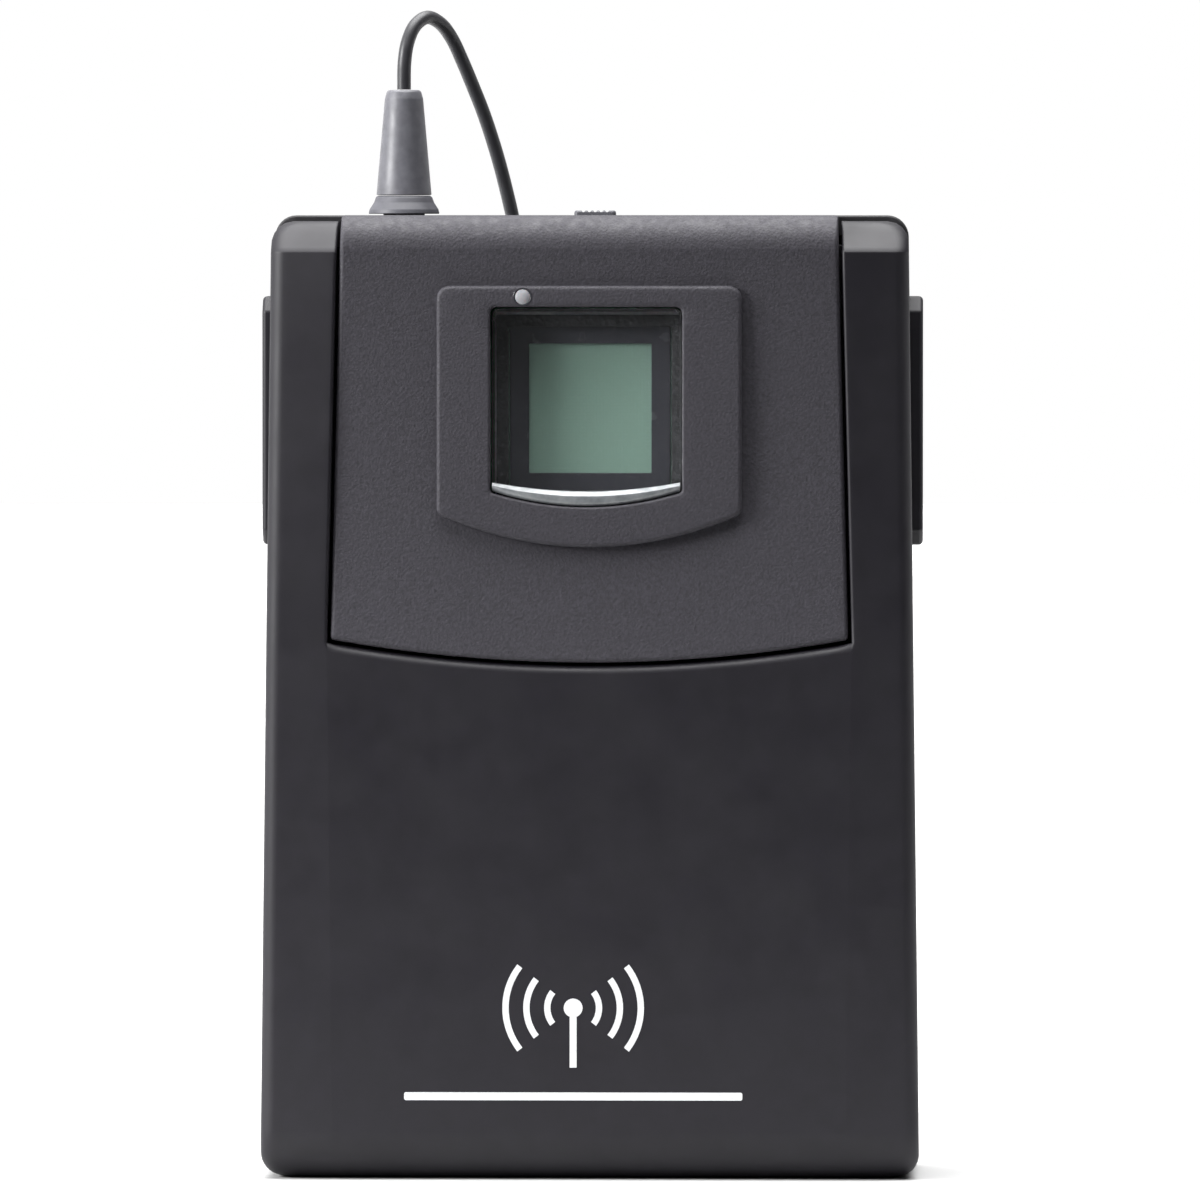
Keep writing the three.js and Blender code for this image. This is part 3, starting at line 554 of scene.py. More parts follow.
def liquid_crystal():
    """An unlit reflective screen: grey-green behind glass, with the faint net of its dots."""
    material, tree, place = blank("liquid_crystal_glass")
    spread = add_node(tree, "ShaderNodeMapping", {"Vector": place, "Scale": (grain_scale(0.34),) * 3})
    part = add_node(tree, "ShaderNodeSeparateXYZ", {"Vector": spread.outputs["Vector"]})
    flat = add_node(tree, "ShaderNodeCombineXYZ", {"X": part.outputs["X"], "Y": part.outputs["Z"]})
    net = add_node(
        tree, "ShaderNodeTexBrick",
        {"Vector": flat.outputs["Vector"], "Color1": tint("screen", 1.03), "Color2": tint("screen", 0.98),
         "Mortar": tint("screen", 0.86), "Scale": 1.0, "Mortar Size": 0.06, "Brick Width": 1.0,
         "Row Height": 1.0}, offset=0.0)
    return closed(
        material, Base_Color=net.outputs["Color"], Roughness=ranged(tree, place, 3.0, 0.32, 0.42),
        Coat_Weight=0.5, Coat_Roughness=0.05)


def window_paint():
    """Black paint behind the lens: deep and even, with a slight orange peel."""
    material, tree, place = blank("black_window_paint")
    low, high = (tuple(share * c for c in linear("#323237")) + (1,) for share in (0.9, 1.1))
    return closed(
        material, Base_Color=mottled(tree, place, 1.2, low, high),
        Roughness=ranged(tree, place, 2.0, 0.18, 0.28),
        Normal=raised(tree, noise(tree, place, 0.6, 2.0), 0.12, 0.02))


def white_diffuser():
    """Milky polycarbonate: it spreads the light, so its shadows are soft."""
    material, tree, place = blank("milky_polycarbonate")
    return closed(
        material, Base_Color=mottled(tree, place, 0.8, opaque("#8d8d92"), opaque("#a2a2a6")),
        Roughness=ranged(tree, place, 1.0, 0.25, 0.35), IOR=1.58, Subsurface_Weight=0.15,
        Subsurface_Scale=0.4 * MM)


def soft_rubber(name, shade):
    """Moulded thermoplastic rubber: dark grey, satin, with the fine drag marks of extrusion."""
    material, tree, place = blank(name)
    return closed(
        material, Base_Color=mottled(tree, place, 0.9, tint(shade, 0.85), tint(shade, 1.15)),
        Roughness=ranged(tree, place, 1.5, 0.38, 0.5), IOR=1.5, Sheen_Weight=0.15,
        Normal=raised(tree, noise(tree, place, 0.22), 0.2, 0.02))


def metal(name, code, rough):
    """A metal surface with fine drawn lines: they stretch the pattern along one direction and break the
    highlight up."""
    material, tree, place = blank(name)
    drawn = add_node(tree, "ShaderNodeMapping", {"Vector": place, "Scale": (1.0, 12.0, 1.0)})
    lines = noise(tree, drawn.outputs["Vector"], 1.2, 4.0)
    dull = tuple(0.88 * c for c in linear(code)) + (1,)
    return closed(
        material, Base_Color=mottled(tree, place, 1.5, dull, opaque(code)), Metallic=1.0,
        Roughness=ranged(tree, place, 2.0, *rough), Normal=raised(tree, lines, 0.05, 0.02))


def solder_mask():
    """Glass laminate under green solder mask, with copper runs that stand a little proud and look paler."""
    material, tree, place = blank("solder_mask_on_laminate")
    part = add_node(tree, "ShaderNodeSeparateXYZ", {"Vector": place})
    flat = add_node(tree, "ShaderNodeCombineXYZ", {"X": part.outputs["X"], "Y": part.outputs["Z"]})
    runs = cells(tree, flat.outputs["Vector"], 1.8, distance="CHEBYCHEV", feature="F1")
    shade = ramped(tree, runs, (0.42, tint("board")), (0.46, tint("board", 1.7)))
    return closed(
        material, Base_Color=shade, Roughness=ranged(tree, place, 2.0, 0.3, 0.42), Coat_Weight=0.3,
        Normal=raised(tree, shade, 0.4, 0.04))


def closed_foam():
    """Closed-cell foam: black, dead matte, pitted by cells about half a millimetre across."""
    material, tree, place = blank("closed_cell_foam")
    return closed(
        material, Base_Color=mottled(tree, place, 0.6, opaque("#1b1b1d"), opaque("#2c2c2f")), Roughness=0.95,
        Normal=raised(tree, cells(tree, place, 0.5), 0.7, 0.15))


def cell_sleeve():
    """A shrunk printed sleeve: glossy film with a plain darker band towards each end."""
    material, tree, place = blank("shrunk_cell_sleeve")
    part = add_node(tree, "ShaderNodeSeparateXYZ", {"Vector": place})
    band = add_node(
        tree, "ShaderNodeMapRange", {"Value": part.outputs["X"], "From Min": -26 * MM, "From Max": 26 * MM})
    ramp = add_node(tree, "ShaderNodeValToRGB", {"Fac": band.outputs["Result"]})
    bands = ramp.color_ramp
    bands.interpolation = "CONSTANT"
    bands.elements[0].color, bands.elements[1].color = tint("sleeve", 0.25), tint("sleeve")
    bands.elements[1].position = 0.3
    bands.elements.new(0.72).color = tint("sleeve", 0.25)
    return closed(
        material, Base_Color=ramp.outputs["Color"], Metallic=0.5,
        Roughness=ranged(tree, place, 3.0, 0.22, 0.34), Coat_Weight=0.4)


def key_plastic():
    """Grey moulded keys, lightly polished by fingers."""
    material, tree, place = blank("moulded_grey_keys")
    return closed(
        material, Base_Color=mottled(tree, place, 0.8, tint("keys", 0.9), tint("keys", 1.05)),
        Roughness=ranged(tree, place, 0.8, 0.4, 0.55))


def pad_ink():
    """Pad-printed white ink: matte, with pinholes where the satin plastic shows through as grey."""
    material, tree, place = blank("pad_printed_ink")
    speckle = mottled(tree, place, 0.25, tint("ink", 0.8), tint("ink"))
    return closed(material, Base_Color=speckle, Roughness=0.6)


def studio_paper():
    """Pale seamless paper: matte, with hardly any fibre."""
    material, tree, place = blank("seamless_paper")
    return closed(
        material, Base_Color=mottled(tree, place, 300.0, (0.5, 0.5, 0.5, 1), (0.52, 0.52, 0.52, 1)),
        Roughness=0.9, Specular_IOR_Level=0.2)


# Each finish: what makes it, and the slot that its pieces are in.
FINISHES = {
    "textured": (textured_abs, "textured_case"),
    "door": (lambda: satin_abs("satin_door_abs", "door", (0.5, 0.58)), "satin_case"),
    "shell": (lambda: satin_abs("satin_shell_abs", "shell", (0.5, 0.58)), "satin_case"),
    "inside": (lambda: satin_abs("matte_inner_abs", "inside", (0.55, 0.65)), "inner_plastic"),
    "lens": (clear_acrylic, "clear_lens"),
    # the lens's foot: its light grey colour is a painted reflection of the overhead light
    "lip": (acrylic_painted_reflection, "clear_lens"),
    "screen": (liquid_crystal, "lcd"),
    "mask": (window_paint, "inner_plastic"),
    "white": (white_diffuser, "white_plastic"),
    "rubber": (lambda: soft_rubber("moulded_soft_rubber", "rubber"), "cord_rubber"),
    "sheath": (lambda: soft_rubber("extruded_wire_sheath", "sheath"), "cord_rubber"),
    "grey": (lambda: satin_abs("satin_grey_abs", "grey", (0.45, 0.55)), "satin_case"),
    "knob": (lambda: finish("grey"), "inner_plastic"),
    "steel": (lambda: metal("drawn_spring_steel", "#b9bbbf", (0.25, 0.38)), "spring_steel"),
    "black_steel": (lambda: metal("black_oxide_steel", "#4a4a4d", (0.35, 0.5)), "screw_steel"),
    "nickel": (lambda: metal("nickel_plate", "#c9c5bb", (0.14, 0.26)), "nickel"),
    "gold": (lambda: metal("thin_gold_plate", "#d9b35c", (0.16, 0.26)), "gold_pin"),
    "board": (solder_mask, "circuit_board"),
    "foam": (closed_foam, "foam"),
    "sleeve": (cell_sleeve, "cell_sleeve"),
    "keys": (key_plastic, "key_plastic"),
    "ink": (pad_ink, "white_plastic"),
    "paper": (studio_paper, None),
}
_made = {}


def finish(name):
    """Each finish is made once."""
    if name not in _made:
        _made[name] = FINISHES[name][0]()
    return _made[name]


# ---- The case's outer form ----


def narrowed(x, z):
    """The case draws in towards the top: x shrinks in step with the height."""
    return x * (1 - TAPER * z / (HALF * HEIGHT))


def corner_cut(z, foot, top, low, high):
    """How much a side draws in at a height, for its round lower and upper corners: r - sqrt(r2 - d2)."""
    below = np.clip(foot + low - z, 0, low)
    above = np.clip(z - (top - high), 0, high)
    return low - np.sqrt(low**2 - below**2) + high - np.sqrt(high**2 - above**2)


def swept_rim(z, radius, straight):
    """The y of a rim that is straight, but follows a circle about the hinge below it."""
    reach = np.sqrt(np.maximum(radius**2 - (z - HINGE[1]) ** 2, 0))
    return np.where(z < HINGE[1], np.minimum(HINGE[0] + reach, straight), straight)


def quarter(distance, radius):
    """How far a rounded edge has fallen back at a distance in from the side: r - sqrt(r2 - (r - d)2)."""
    short = np.clip(radius - distance, 0, radius)
    return radius - np.sqrt(np.maximum(radius**2 - short**2, 0))


# ---- Rear shell ----


def box_loop(half, foot, top, low, high):
    """An upright rectangle with round corners, anticlockwise from the left of its foot: x, z, and how much
    each point faces sideways, the square of its direction's cosine."""
    corners = (
        (low - half, foot + low, low, 180),
        (half - low, foot + low, low, 270),
        (half - high, top - high, high, 0),
        (high - half, top - high, high, 90),
    )
    spans = []
    for x, z, radius, start in corners:
        angle = arc(start, start + 90, 9)
        cos, sin = np.cos(angle), np.sin(angle)
        spans.append(np.stack([x + radius * cos, z + radius * sin, cos**2], 1))
    even = np.linspace(0, 1, 22)[1:-1]
    steps = (even, even**1.7, even, 1 - (1 - even) ** 1.7)
    points = []
    for i, span in enumerate(spans):
        points.append(span)
        start, stop = span[-1], spans[(i + 1) % 4][0]
        points.append(start + (stop - start) * steps[i][:, None])
    points.append(spans[0][:1])
    return np.concatenate(points).T


REAR_ROUND = {"side": 3.6, "foot": 2.0, "top": 2.4}


def rear_ring(turn, inset):
    """The rear shell's outline at an angle round its back edge: each side draws in by r * (1 - cos), and
    comes forward from the back by r * (1 - sin)."""
    side, foot, top = (max(r - inset, 0.4) for r in REAR_ROUND.values())
    drawn = 1 - math.cos(turn)
    low = max(CORNER["foot"] - inset - side * drawn, 0.3)
    high = max(CORNER["top"] - inset - side * drawn, 0.3)
    half = HALF - inset - side * drawn
    x, z, facing = box_loop(half, inset + foot * drawn, HEIGHT - inset - top * drawn, low, high)
    radius = side * facing + np.where(z > HEIGHT / 2, top, foot) * (1 - facing)
    y = BACK - inset - radius * (1 - math.sin(turn))
    return np.stack([x, y, z], 1)


def rear_sheet(inset):
    """The outer or inner side of the rear shell, from the middle of its back out to its front rim."""
    turns = arc(90, 0, 9)
    rings = [rear_ring(turn, inset) for turn in turns]
    centre = np.array([0, BACK - inset, HEIGHT / 2])
    flat = [centre + (rings[0] - centre) * share for share in (0.0, 0.35, 0.7, 0.9)]
    side = rings[-1]
    rim = swept_rim(side[:, 2], SWEEP, SHELL_FRONT)
    edge = 0.25 if inset == 0 else 0.0
    walls = []
    for share in np.linspace(0, 1, 9)[1:]:
        wall = side.copy()
        wall[:, 1] = side[:, 1] + share * (rim + edge - side[:, 1])
        walls.append(wall)
    inward = rear_ring(0, inset + 1) - rear_ring(0, inset)
    inward[:, 1] = 0
    for turn in arc(0, 90, 4)[1:]:
        wall = side + inward * edge * (1 - math.cos(turn))
        wall[:, 1] = rim + edge * (1 - math.sin(turn))
        walls.append(wall)
    sheet = np.stack(flat + rings + walls)
    sheet[..., 0] = narrowed(sheet[..., 0], sheet[..., 2])
    return sheet


def rear_tools():
    """Openings in the rear shell: aerial, microphone, power switch, catches, screws and a label recess."""
    aerial, mic = middle("antenna_ferrule"), middle("mic_socket_shell")
    top = HEIGHT - 4
    tools = [
        rod(2.6, 8, (aerial[0], aerial[1], top), "z", 0),
        rod(5.15, 8, (mic[0], mic[1], top), "z", 0, 48),
        slab(rectangle(-2.2, 5.6, 2.4, 5.6, 0.5), 90, 100, "z", 0),
        slab(rectangle(-3.8, 7.2, 1.2, 6.8, 1.2), HEIGHT - 0.6, 100, "z", 0),
        slab(rectangle(-21, 21, 60, 86, 1.5), BACK - 0.3, BACK + 2, "y", 0),
    ]
    for sign in (-1, 1):
        near, far = sorted((sign * 29.5, sign * 36))
        window = rectangle(0.2, 7.8, 63.3, 89.1, 0.5)
        tools.append(slab(window, near, far, "x", 0))
    for number in (1, 2, 3, 4):
        x, _, z = middle(f"case_screw_{number}")
        tools.append(rod(2.25, 3, (x, BACK - 1.7, z), "y", 0))
    return tools


class BODYPACK_OT_rear_shell(bpy.types.Operator):
    """Rear half of the case: a shallow tray with round back edges and a rim that clears the door's hinge"""

    bl_idname = "bodypack.rear_shell"
    bl_label = "Rear shell"

    def execute(self, context):
        wall = walled([(rear_sheet(0), rear_sheet(WALL))])
        new_piece(
            "rear_shell_fine", [wall], "shell", "case", ["rear_shell"], rear_tools())
        return {"FINISHED"}


# ---- Front panel ----


def shield_loop(x, half, top, ends, sag, high, low=0.3, lean=0.0):
    """An outline with upright sides that may lean in, and a foot that is one shallow arc. Each corner is a
    quadratic curve between points a corner's size from it. Gives x, z and how much each point belongs to
    the top, from 0 to 1; it runs anticlockwise from the right end of the top."""
    top_half = half + lean * (top - ends)
    corners = np.array([(top_half, top), (-top_half, top), (-half, ends), (half, ends)])
    sizes_ = (high, high, low, low)
    even = np.linspace(0, 1, 32)
    sides = []
    for i in range(4):
        start, stop = corners[i], corners[(i + 1) % 4]
        length = np.linalg.norm(stop - start)
        first, last = sizes_[i] / length, 1 - sizes_[(i + 1) % 4] / length
        spread = {0: even, 1: even**1.8, 2: even, 3: 1 - (1 - even) ** 1.8}[i]
        share = (first + (last - first) * spread)[:, None]
        side = start + (stop - start) * share
        if i == 2:
            side[:, 1] -= sag * (1 - (side[:, 0] / half) ** 2)
        sides.append(side)
    belongs = (1.0, 0.0, 0.0, 0.0)
    points = []
    for i in range(4):
        points.append(np.column_stack([sides[i], np.full(len(even), belongs[i])]))
        start, corner, stop = sides[i][-1], corners[(i + 1) % 4], sides[(i + 1) % 4][0]
        t = np.linspace(0, 1, 8)[1:-1, None]
        curve = (1 - t) ** 2 * start + 2 * t * (1 - t) * corner + t**2 * stop
        fade = belongs[i] * (1 - t) + belongs[(i + 1) % 4] * t
        points.append(np.column_stack([curve, fade]))
    points = np.concatenate(points + [points[0][:1]])
    points[:, 0] += x
    return points.T


def grown_ring(shape, grow, y, high, low):
    """A window's or pad's outline, grown all round, at a depth."""
    half, top, ends = shape["half"] + grow, shape["top"] + grow, shape["ends"] - grow
    u, v, _ = shield_loop(shape["x"], half, top, ends, shape["sag"], high, low)
    return np.stack([u, np.full_like(u, y), v], 1)


def window_ring(grow, y):
    return grown_ring(WINDOW, grow, y, 0.8, 0.4)


def pad_ring(grow, y):
    return grown_ring(PAD, grow, y, 1.5 + grow, 0.6)


def dish(z):
    """How far the panel's face is hollowed between its brow and its foot: a parabola, deepest half way."""
    low, high = PANEL_FOOT, HEIGHT - in_mm("top_edge")
    return DISH * np.clip((z - low) * (high - z) / ((high - low) / 2) ** 2, 0, 1)


def panel_ring(turn, edge, top_edge):
    """The panel's outline at an angle round its edges: the top one is wide and the others are narrow. The
    face falls back as the wide edge does at each height, and by the narrow one at the sides and foot."""
    short = 1 - math.sin(turn)
    half, ends = PANEL_HALF - edge * short, PANEL_ENDS + edge * short
    x, z, on_top = shield_loop(0, half, HEIGHT - top_edge * short, ends, PANEL_SAG, 0.4, 0.4, PANEL_LEAN)
    fall = quarter(HEIGHT - z, top_edge) + dish(z)
    y = FRONT + fall + edge * (1 - math.cos(turn)) * (1 - on_top)
    return np.stack([x, y, z], 1)


def panel_sheets():
    """The panel's outer and inner sheet: rings from the window's edge out over the pad, the face and the
    edges, and back along the sides."""
    edge, top_edge, pad = in_mm("panel_edge"), in_mm("top_edge"), in_mm("pad_edge")
    lip = 0.25
    rings = [window_ring(lip * (1 - math.cos(t)), PAD_FACE + lip * (1 - math.sin(t))) for t in arc(0, 90, 4)]
    start, stop = rings[-1], pad_ring(-pad, PAD_FACE)
    rings += [start + (stop - start) * share for share in (0.25, 0.5, 0.75)]
    rings += [pad_ring(-pad * (1 - math.sin(t)), PAD_FACE + pad * (1 - math.cos(t))) for t in arc(0, 90, 5)]
    rings.append(pad_ring(0.02, FRONT - 0.02))
    rings.append(pad_ring(0.12, FRONT))
    start, stop = rings[-1], panel_ring(0, edge, top_edge)
    rings += [start + (stop - start) * share for share in (0.1, 0.25, 0.4, 0.55, 0.7, 0.8, 0.88, 0.95)]
    for ring in rings[-10:]:
        ring[:, 1] = FRONT + quarter(HEIGHT - ring[:, 2], top_edge) + dish(ring[:, 2])
    rings += [panel_ring(t, edge, top_edge) for t in arc(0, 90, 9)]
    last = rings[-1]
    for y in (-6.0, PANEL_REAR + 0.2, PANEL_REAR):
        wall = last.copy()
        wall[:, 1] = np.maximum(last[:, 1], y)
        rings.append(wall)
    outer = np.stack(rings)
    shrink = 1.8
    x, z, _ = shield_loop(
        0, PANEL_HALF - shrink, HEIGHT - WALL, PANEL_ENDS + shrink, PANEL_SAG, 0.4, 0.4, PANEL_LEAN)
    inner = outer.copy()
    inner[..., 1] = FRONT + WALL
    centre = np.array([0.0, 75.0])
    reach = np.linalg.norm(np.stack([x, z], 1) - centre, axis=1)
    spread = np.linalg.norm(outer[..., [0, 2]] - centre, axis=2)
    far = spread > reach[None] - 0.01
    inner[..., 0] = np.where(far, x[None], outer[..., 0])
    inner[..., 2] = np.where(far, z[None], outer[..., 2])
    inner[-3:, :, 1] = outer[-3:, :, 1]
    inner[-3:, :, 0], inner[-3:, :, 2] = x, z
    return outer, inner


def panel_extras():
    """Behind the panel: a flange with a notch for each catch, two posts and a seat for each catch spring."""
    parts = []
    for sign in (-1, 1):
        for low, high, reach in ((56, 70, 30.0), (82, 94, 29.8), (69.8, 82.2, 27.1)):
            near, far = sorted((sign * 23.6, sign * reach))
            parts.append(brick(near, far, PANEL_REAR - 1.5, PANEL_REAR - 0.02, low, high, 0.15))
        near, far = sorted((sign * 23.9, sign * 25.0))
        parts.append(brick(near, far, -3, 6.2, 65.7, 70.7, 0.2, "x"))
    for x, z in ((-17.5, 60), (17.5, 90)):
        parts.append(rod(1.9, 6.4, (x, FRONT + WALL - 0.1, z), "y", 0.2))
    return parts


class BODYPACK_OT_front_panel(bpy.types.Operator):
    """Display panel: a textured face that rises to a pad round the window, with a wide round top edge"""

    bl_idname = "bodypack.front_panel"
    bl_label = "Front panel"

    def execute(self, context):
        parts = [walled([panel_sheets()])] + panel_extras()
        new_piece("front_panel_fine", parts, "textured", "case", ["front_panel"])
        return {"FINISHED"}


# ---- Battery door ----

# The bevel across the top of each arm: height above its lower border, and how far back it lies there.
BEVEL = np.array([(0.15, 0.04), (0.6, 0.45), (1.3, 1.13), (2.0, 1.8), (2.6, 2.38), (3.0, 2.88), (3.2, 3.4)])
BEVEL_FOOT = DOOR_TOP - BEVEL[-1, 0]
ARM_ROOF = 2.6  # thickness over the hollow in each arm, which stays clear of the bevel
NOTCH_EDGE = 0.35
SIDE_STEPS = 8  # strips along the side of the door, from its face back to its rim
HEEL = 1.3  # how far behind the hinge the door's foot reaches


def notch_half(z):
    """Half the width between the door's arms at a height; below them, where the door's crease is."""
    at_ends = PANEL_HALF + SEAM
    above = at_ends + PANEL_LEAN * (z - (PANEL_ENDS - SEAM))
    below = at_ends - 0.55 * (1 - z / (PANEL_ENDS - SEAM))
    return np.where(z > PANEL_ENDS - SEAM, above, below)


def slope_back(z):
    """How far the outer edge of the door's side strips lies back: the same below the panel, then more and
    more."""
    return np.interp(z, (PANEL_ENDS, DOOR_TOP), (CREASE["foot"], CREASE["top"]))


def arc_height(x):
    """The door's curved edge under the panel: a parabola, lowest in the middle."""
    return PANEL_ENDS - SEAM - PANEL_SAG * (1 - (x / (PANEL_HALF + SEAM)) ** 2)


def door_rows(inset):
    """The door's profile from its heel up its front: the height of each row, how far back it lies, how far
    round the curved edge under the panel it is, and the number of rows up to that edge. The roll is a circle
    about the hinge."""
    foot_turn = arc(90, 0, 15)
    roll = ROLL - inset
    lower = HINGE[1] - roll * np.sin(foot_turn)
    arc_edge = in_mm("arc_edge")
    straight = np.linspace(HINGE[1], PANEL_ENDS - SEAM - arc_edge, 26)[1:]
    edge_turn = arc(0, 90, 7)[1:]
    near = PANEL_ENDS - SEAM - arc_edge * (1 - np.sin(edge_turn))
    upper = np.linspace(PANEL_ENDS - SEAM, BEVEL_FOOT, 16)[1:]
    rows = np.concatenate([lower, straight, near, upper, BEVEL_FOOT + BEVEL[:, 0]])
    fall = np.zeros(len(rows))
    fall[: len(foot_turn)] = roll - roll * np.cos(foot_turn)
    fall[-len(BEVEL):] = BEVEL[:, 1]
    round_edge = np.zeros(len(rows))
    first = len(foot_turn) + len(straight)
    after = first + len(near)
    round_edge[first:after] = 1 - np.cos(edge_turn)
    round_edge[after:] = 1.0
    if inset:
        rows = np.minimum(rows, DOOR_TOP - ARM_ROOF)
        fall[-len(BEVEL):] = 0
    return rows, fall, round_edge, after


def door_strip(inset):
    """One side of the door, drawn on the right: each row runs from the notch or crease out over the face,
    round the upright edge and back along the side to the rim."""
    z, fall, round_edge, _ = door_rows(inset)
    z = z[:, None]
    side_edge = max(in_mm("side_edge") - inset, 0.3)
    top = DOOR_TOP - (ARM_ROOF if inset else 0)
    low, high = max(CORNER["foot"] - inset, 0.4), max(CORNER["top"] - inset, 0.4)
    reach = narrowed(HALF - inset - corner_cut(z, inset, top, low, high), z)
    start = notch_half(z)
    notch_turn = arc(90, 0, 5)
    notch = NOTCH_EDGE * (1 - np.sin(notch_turn))
    face = np.linspace(0, 1, 11)[1:]
    out_turn = arc(0, 90, 8)[1:]
    first = start + NOTCH_EDGE
    last = np.maximum(reach - side_edge, first + 0.05)
    x = np.concatenate(
        [start + notch[None],
         first + (last - first) * face[None],
         last + (reach - last) * np.sin(out_turn)[None]], 1)
    y = FRONT + inset + fall[:, None] + 0 * x
    if not inset:
        y += slope_back(z) * np.clip((x - start) / (reach - start), 0, 1)
        y[:, : len(notch)] += NOTCH_EDGE * (1 - np.cos(notch_turn))[None] * round_edge[:, None]
    y[:, -len(out_turn):] += side_edge * (1 - np.cos(out_turn))[None]
    rim = swept_rim(z, ROLL, DOOR_REAR)
    y = np.minimum(y, rim)
    steps = np.linspace(0, 1, SIDE_STEPS + 1)[1:][None]
    walls_y = y[:, -1:] + steps * (rim - y[:, -1:])
    walls_x = np.broadcast_to(x[:, -1:], walls_y.shape)
    x, y = np.concatenate([x, walls_x], 1), np.concatenate([y, walls_y], 1)
    return np.stack([x, y, np.broadcast_to(z, x.shape)], -1)


def door_middle(inset):
    """The door between its creases: rows rise from the heel to the curved edge, and bend to follow it."""
    z, fall, round_edge, stop = door_rows(inset)
    z, fall, round_edge = z[:stop, None], fall[:stop, None], round_edge[:stop, None]
    half = notch_half(z)
    share = np.sin(np.linspace(-1, 1, 41) * math.pi / 2)[None]
    x = half * share
    ends = PANEL_ENDS - SEAM
    bend = np.clip((z - HINGE[1]) / (ends - HINGE[1]), 0, 1)
    height = z + (arc_height(x * (PANEL_HALF + SEAM) / half) - ends) * bend
    size = NOTCH_EDGE + (in_mm("arc_edge") - NOTCH_EDGE) * np.clip((1 - np.abs(share)) / 0.04, 0, 1)
    y = FRONT + inset + fall + (0 if inset else size * round_edge)
    return np.stack([x, np.broadcast_to(y, x.shape), height], -1)


def door_cap(strip):
    """The flat top of an arm: from the last row of its face straight back to the rim."""
    steps = np.linspace(0, 1, SIDE_STEPS + 1)[None, :, None]
    front = strip[-1, :-SIDE_STEPS]
    rear = front.copy()
    rear[:, 1] = strip[-1, -1, 1]
    return front[:, None] + (rear - front)[:, None] * steps


def door_heel(strip, middle_patch, inset):
    """Under the foot: from the lowest row back to the heel's edge, on the hinge's circle."""
    row = np.concatenate([strip[0, ::-1] * [-1, 1, 1], middle_patch[0], strip[0]])
    heel = row.copy()
    heel[:, 1] = HINGE[0] + HEEL
    heel[:, 2] = inset or HINGE[1] - math.sqrt(ROLL**2 - HEEL**2)
    return np.stack([row, (row + heel) / 2 - [0, 0, 0 if inset else 0.03], heel])


def flipped(grid):
    """The same grid on the other side of the case, with its columns turned so that its faces still look
    outwards."""
    return grid[:, ::-1] * [-1, 1, 1]


def door_patches():
    """The door's outer and inner sheets, patch by patch."""
    outer_strip, inner_strip = door_strip(0), door_strip(WALL)
    outer_mid, inner_mid = door_middle(0), door_middle(WALL)
    outer_cap, inner_cap = door_cap(outer_strip), door_cap(inner_strip)
    return [
        (outer_strip, inner_strip),
        (flipped(outer_strip), flipped(inner_strip)),
        (outer_mid, inner_mid),
        (outer_cap, inner_cap),
        (flipped(outer_cap), flipped(inner_cap)),
        (door_heel(outer_strip, outer_mid, 0), door_heel(inner_strip, inner_mid, WALL)),
    ]


def door_extras():
    """Inside the door: two ribs in each arm and the lip that its catch holds."""
    parts = []
    for sign in (-1, 1):
        for z in (60, 92):
            near, far = sorted((sign * 26.7, sign * (narrowed(HALF, z) - 1)))
            parts.append(brick(near, far, FRONT + 1, -5, z, z + 1.2, 0.15, "z"))
        wall = narrowed(HALF, CATCH_Z) - WALL
        near, far = sorted((sign * (wall + 0.5), sign * (wall - 0.7)))
        parts.append(brick(near, far, -5.2, -4.2, CATCH_Z - 4, CATCH_Z + 4, 0.15, "y"))
    return parts


class BODYPACK_OT_battery_door(bpy.types.Operator):
    """Battery door: a satin front with two arms, rolled at its foot about the hinge"""

    bl_idname = "bodypack.battery_door"
    bl_label = "Battery door"

    def execute(self, context):
        parts = [walled(door_patches())] + door_extras()
        new_piece("battery_door_fine", parts, "door", "door", ["battery_door"])
        softened("battery_pad", "foam", "door", 0.1)
        return {"FINISHED"}


SIGN = (-1.6, 16.2)  # the middle of the sign, x and z


class BODYPACK_OT_sign(bpy.types.Operator):
    """White printed sign low on the door: an aerial with waves either side of it, over a thin rule"""

    bl_idname = "bodypack.sign"
    bl_label = "Printed sign"

    def execute(self, context):
        low, high = FRONT - 0.02, FRONT + 0.02
        centre = np.array(SIGN)
        parts = []
        for radius in (2.6, 4.7, 6.8):
            for start in (-38, 142):
                angle = arc(start, start + 76, 17)
                ends = [np.stack([r * np.cos(a), r * np.sin(a)], 1)
                        for r, a in ((radius + 0.32, angle), (radius - 0.32, angle[::-1]))]
                ring = np.concatenate(ends) + centre + [0, 1.2]
                parts.append(ribbon(ring, low, high))
        mast = [(-0.35, -4.8), (0.35, -4.8), (0.35, 0.3), (-0.35, 0.3)]
        parts.append(ribbon(np.array(mast) + centre, low, high))
        ball = np.stack([np.cos(arc(0, 345, 24)), np.sin(arc(0, 345, 24))], 1) * 0.95
        parts.append(ribbon(ball + centre + [0, 1.2], low, high))
        parts.append(ribbon(rectangle(SIGN[0] - 17, SIGN[0] + 17, 8.1, 8.9, 0.2), low, high))
        new_piece("printed_sign", parts, "ink", "door")
        return {"FINISHED"}


def ribbon(points, low, high):
    """A thin flat shape along Y. Opposite points of its outline are joined straight across it."""
    half = len(points) // 2
    one, other = points[:half], points[half:][::-1]
    around = np.stack([one, one, other, other, one])
    depth = np.array([low, high, high, low, low])[:, None]
    grid = laid(around[..., 0], around[..., 1], depth, "y")
    ends = [surface(np.stack([grid[0:2, i], grid[[3, 2], i]])) for i in (0, -1)]
    parts = [surface(grid)] + ends
    firsts = np.cumsum([0] + [len(p) for p, _ in parts])
    return np.concatenate([p for p, _ in parts]), np.concatenate([q + f for (_, q), f in zip(parts, firsts)])


# ---- Display ----


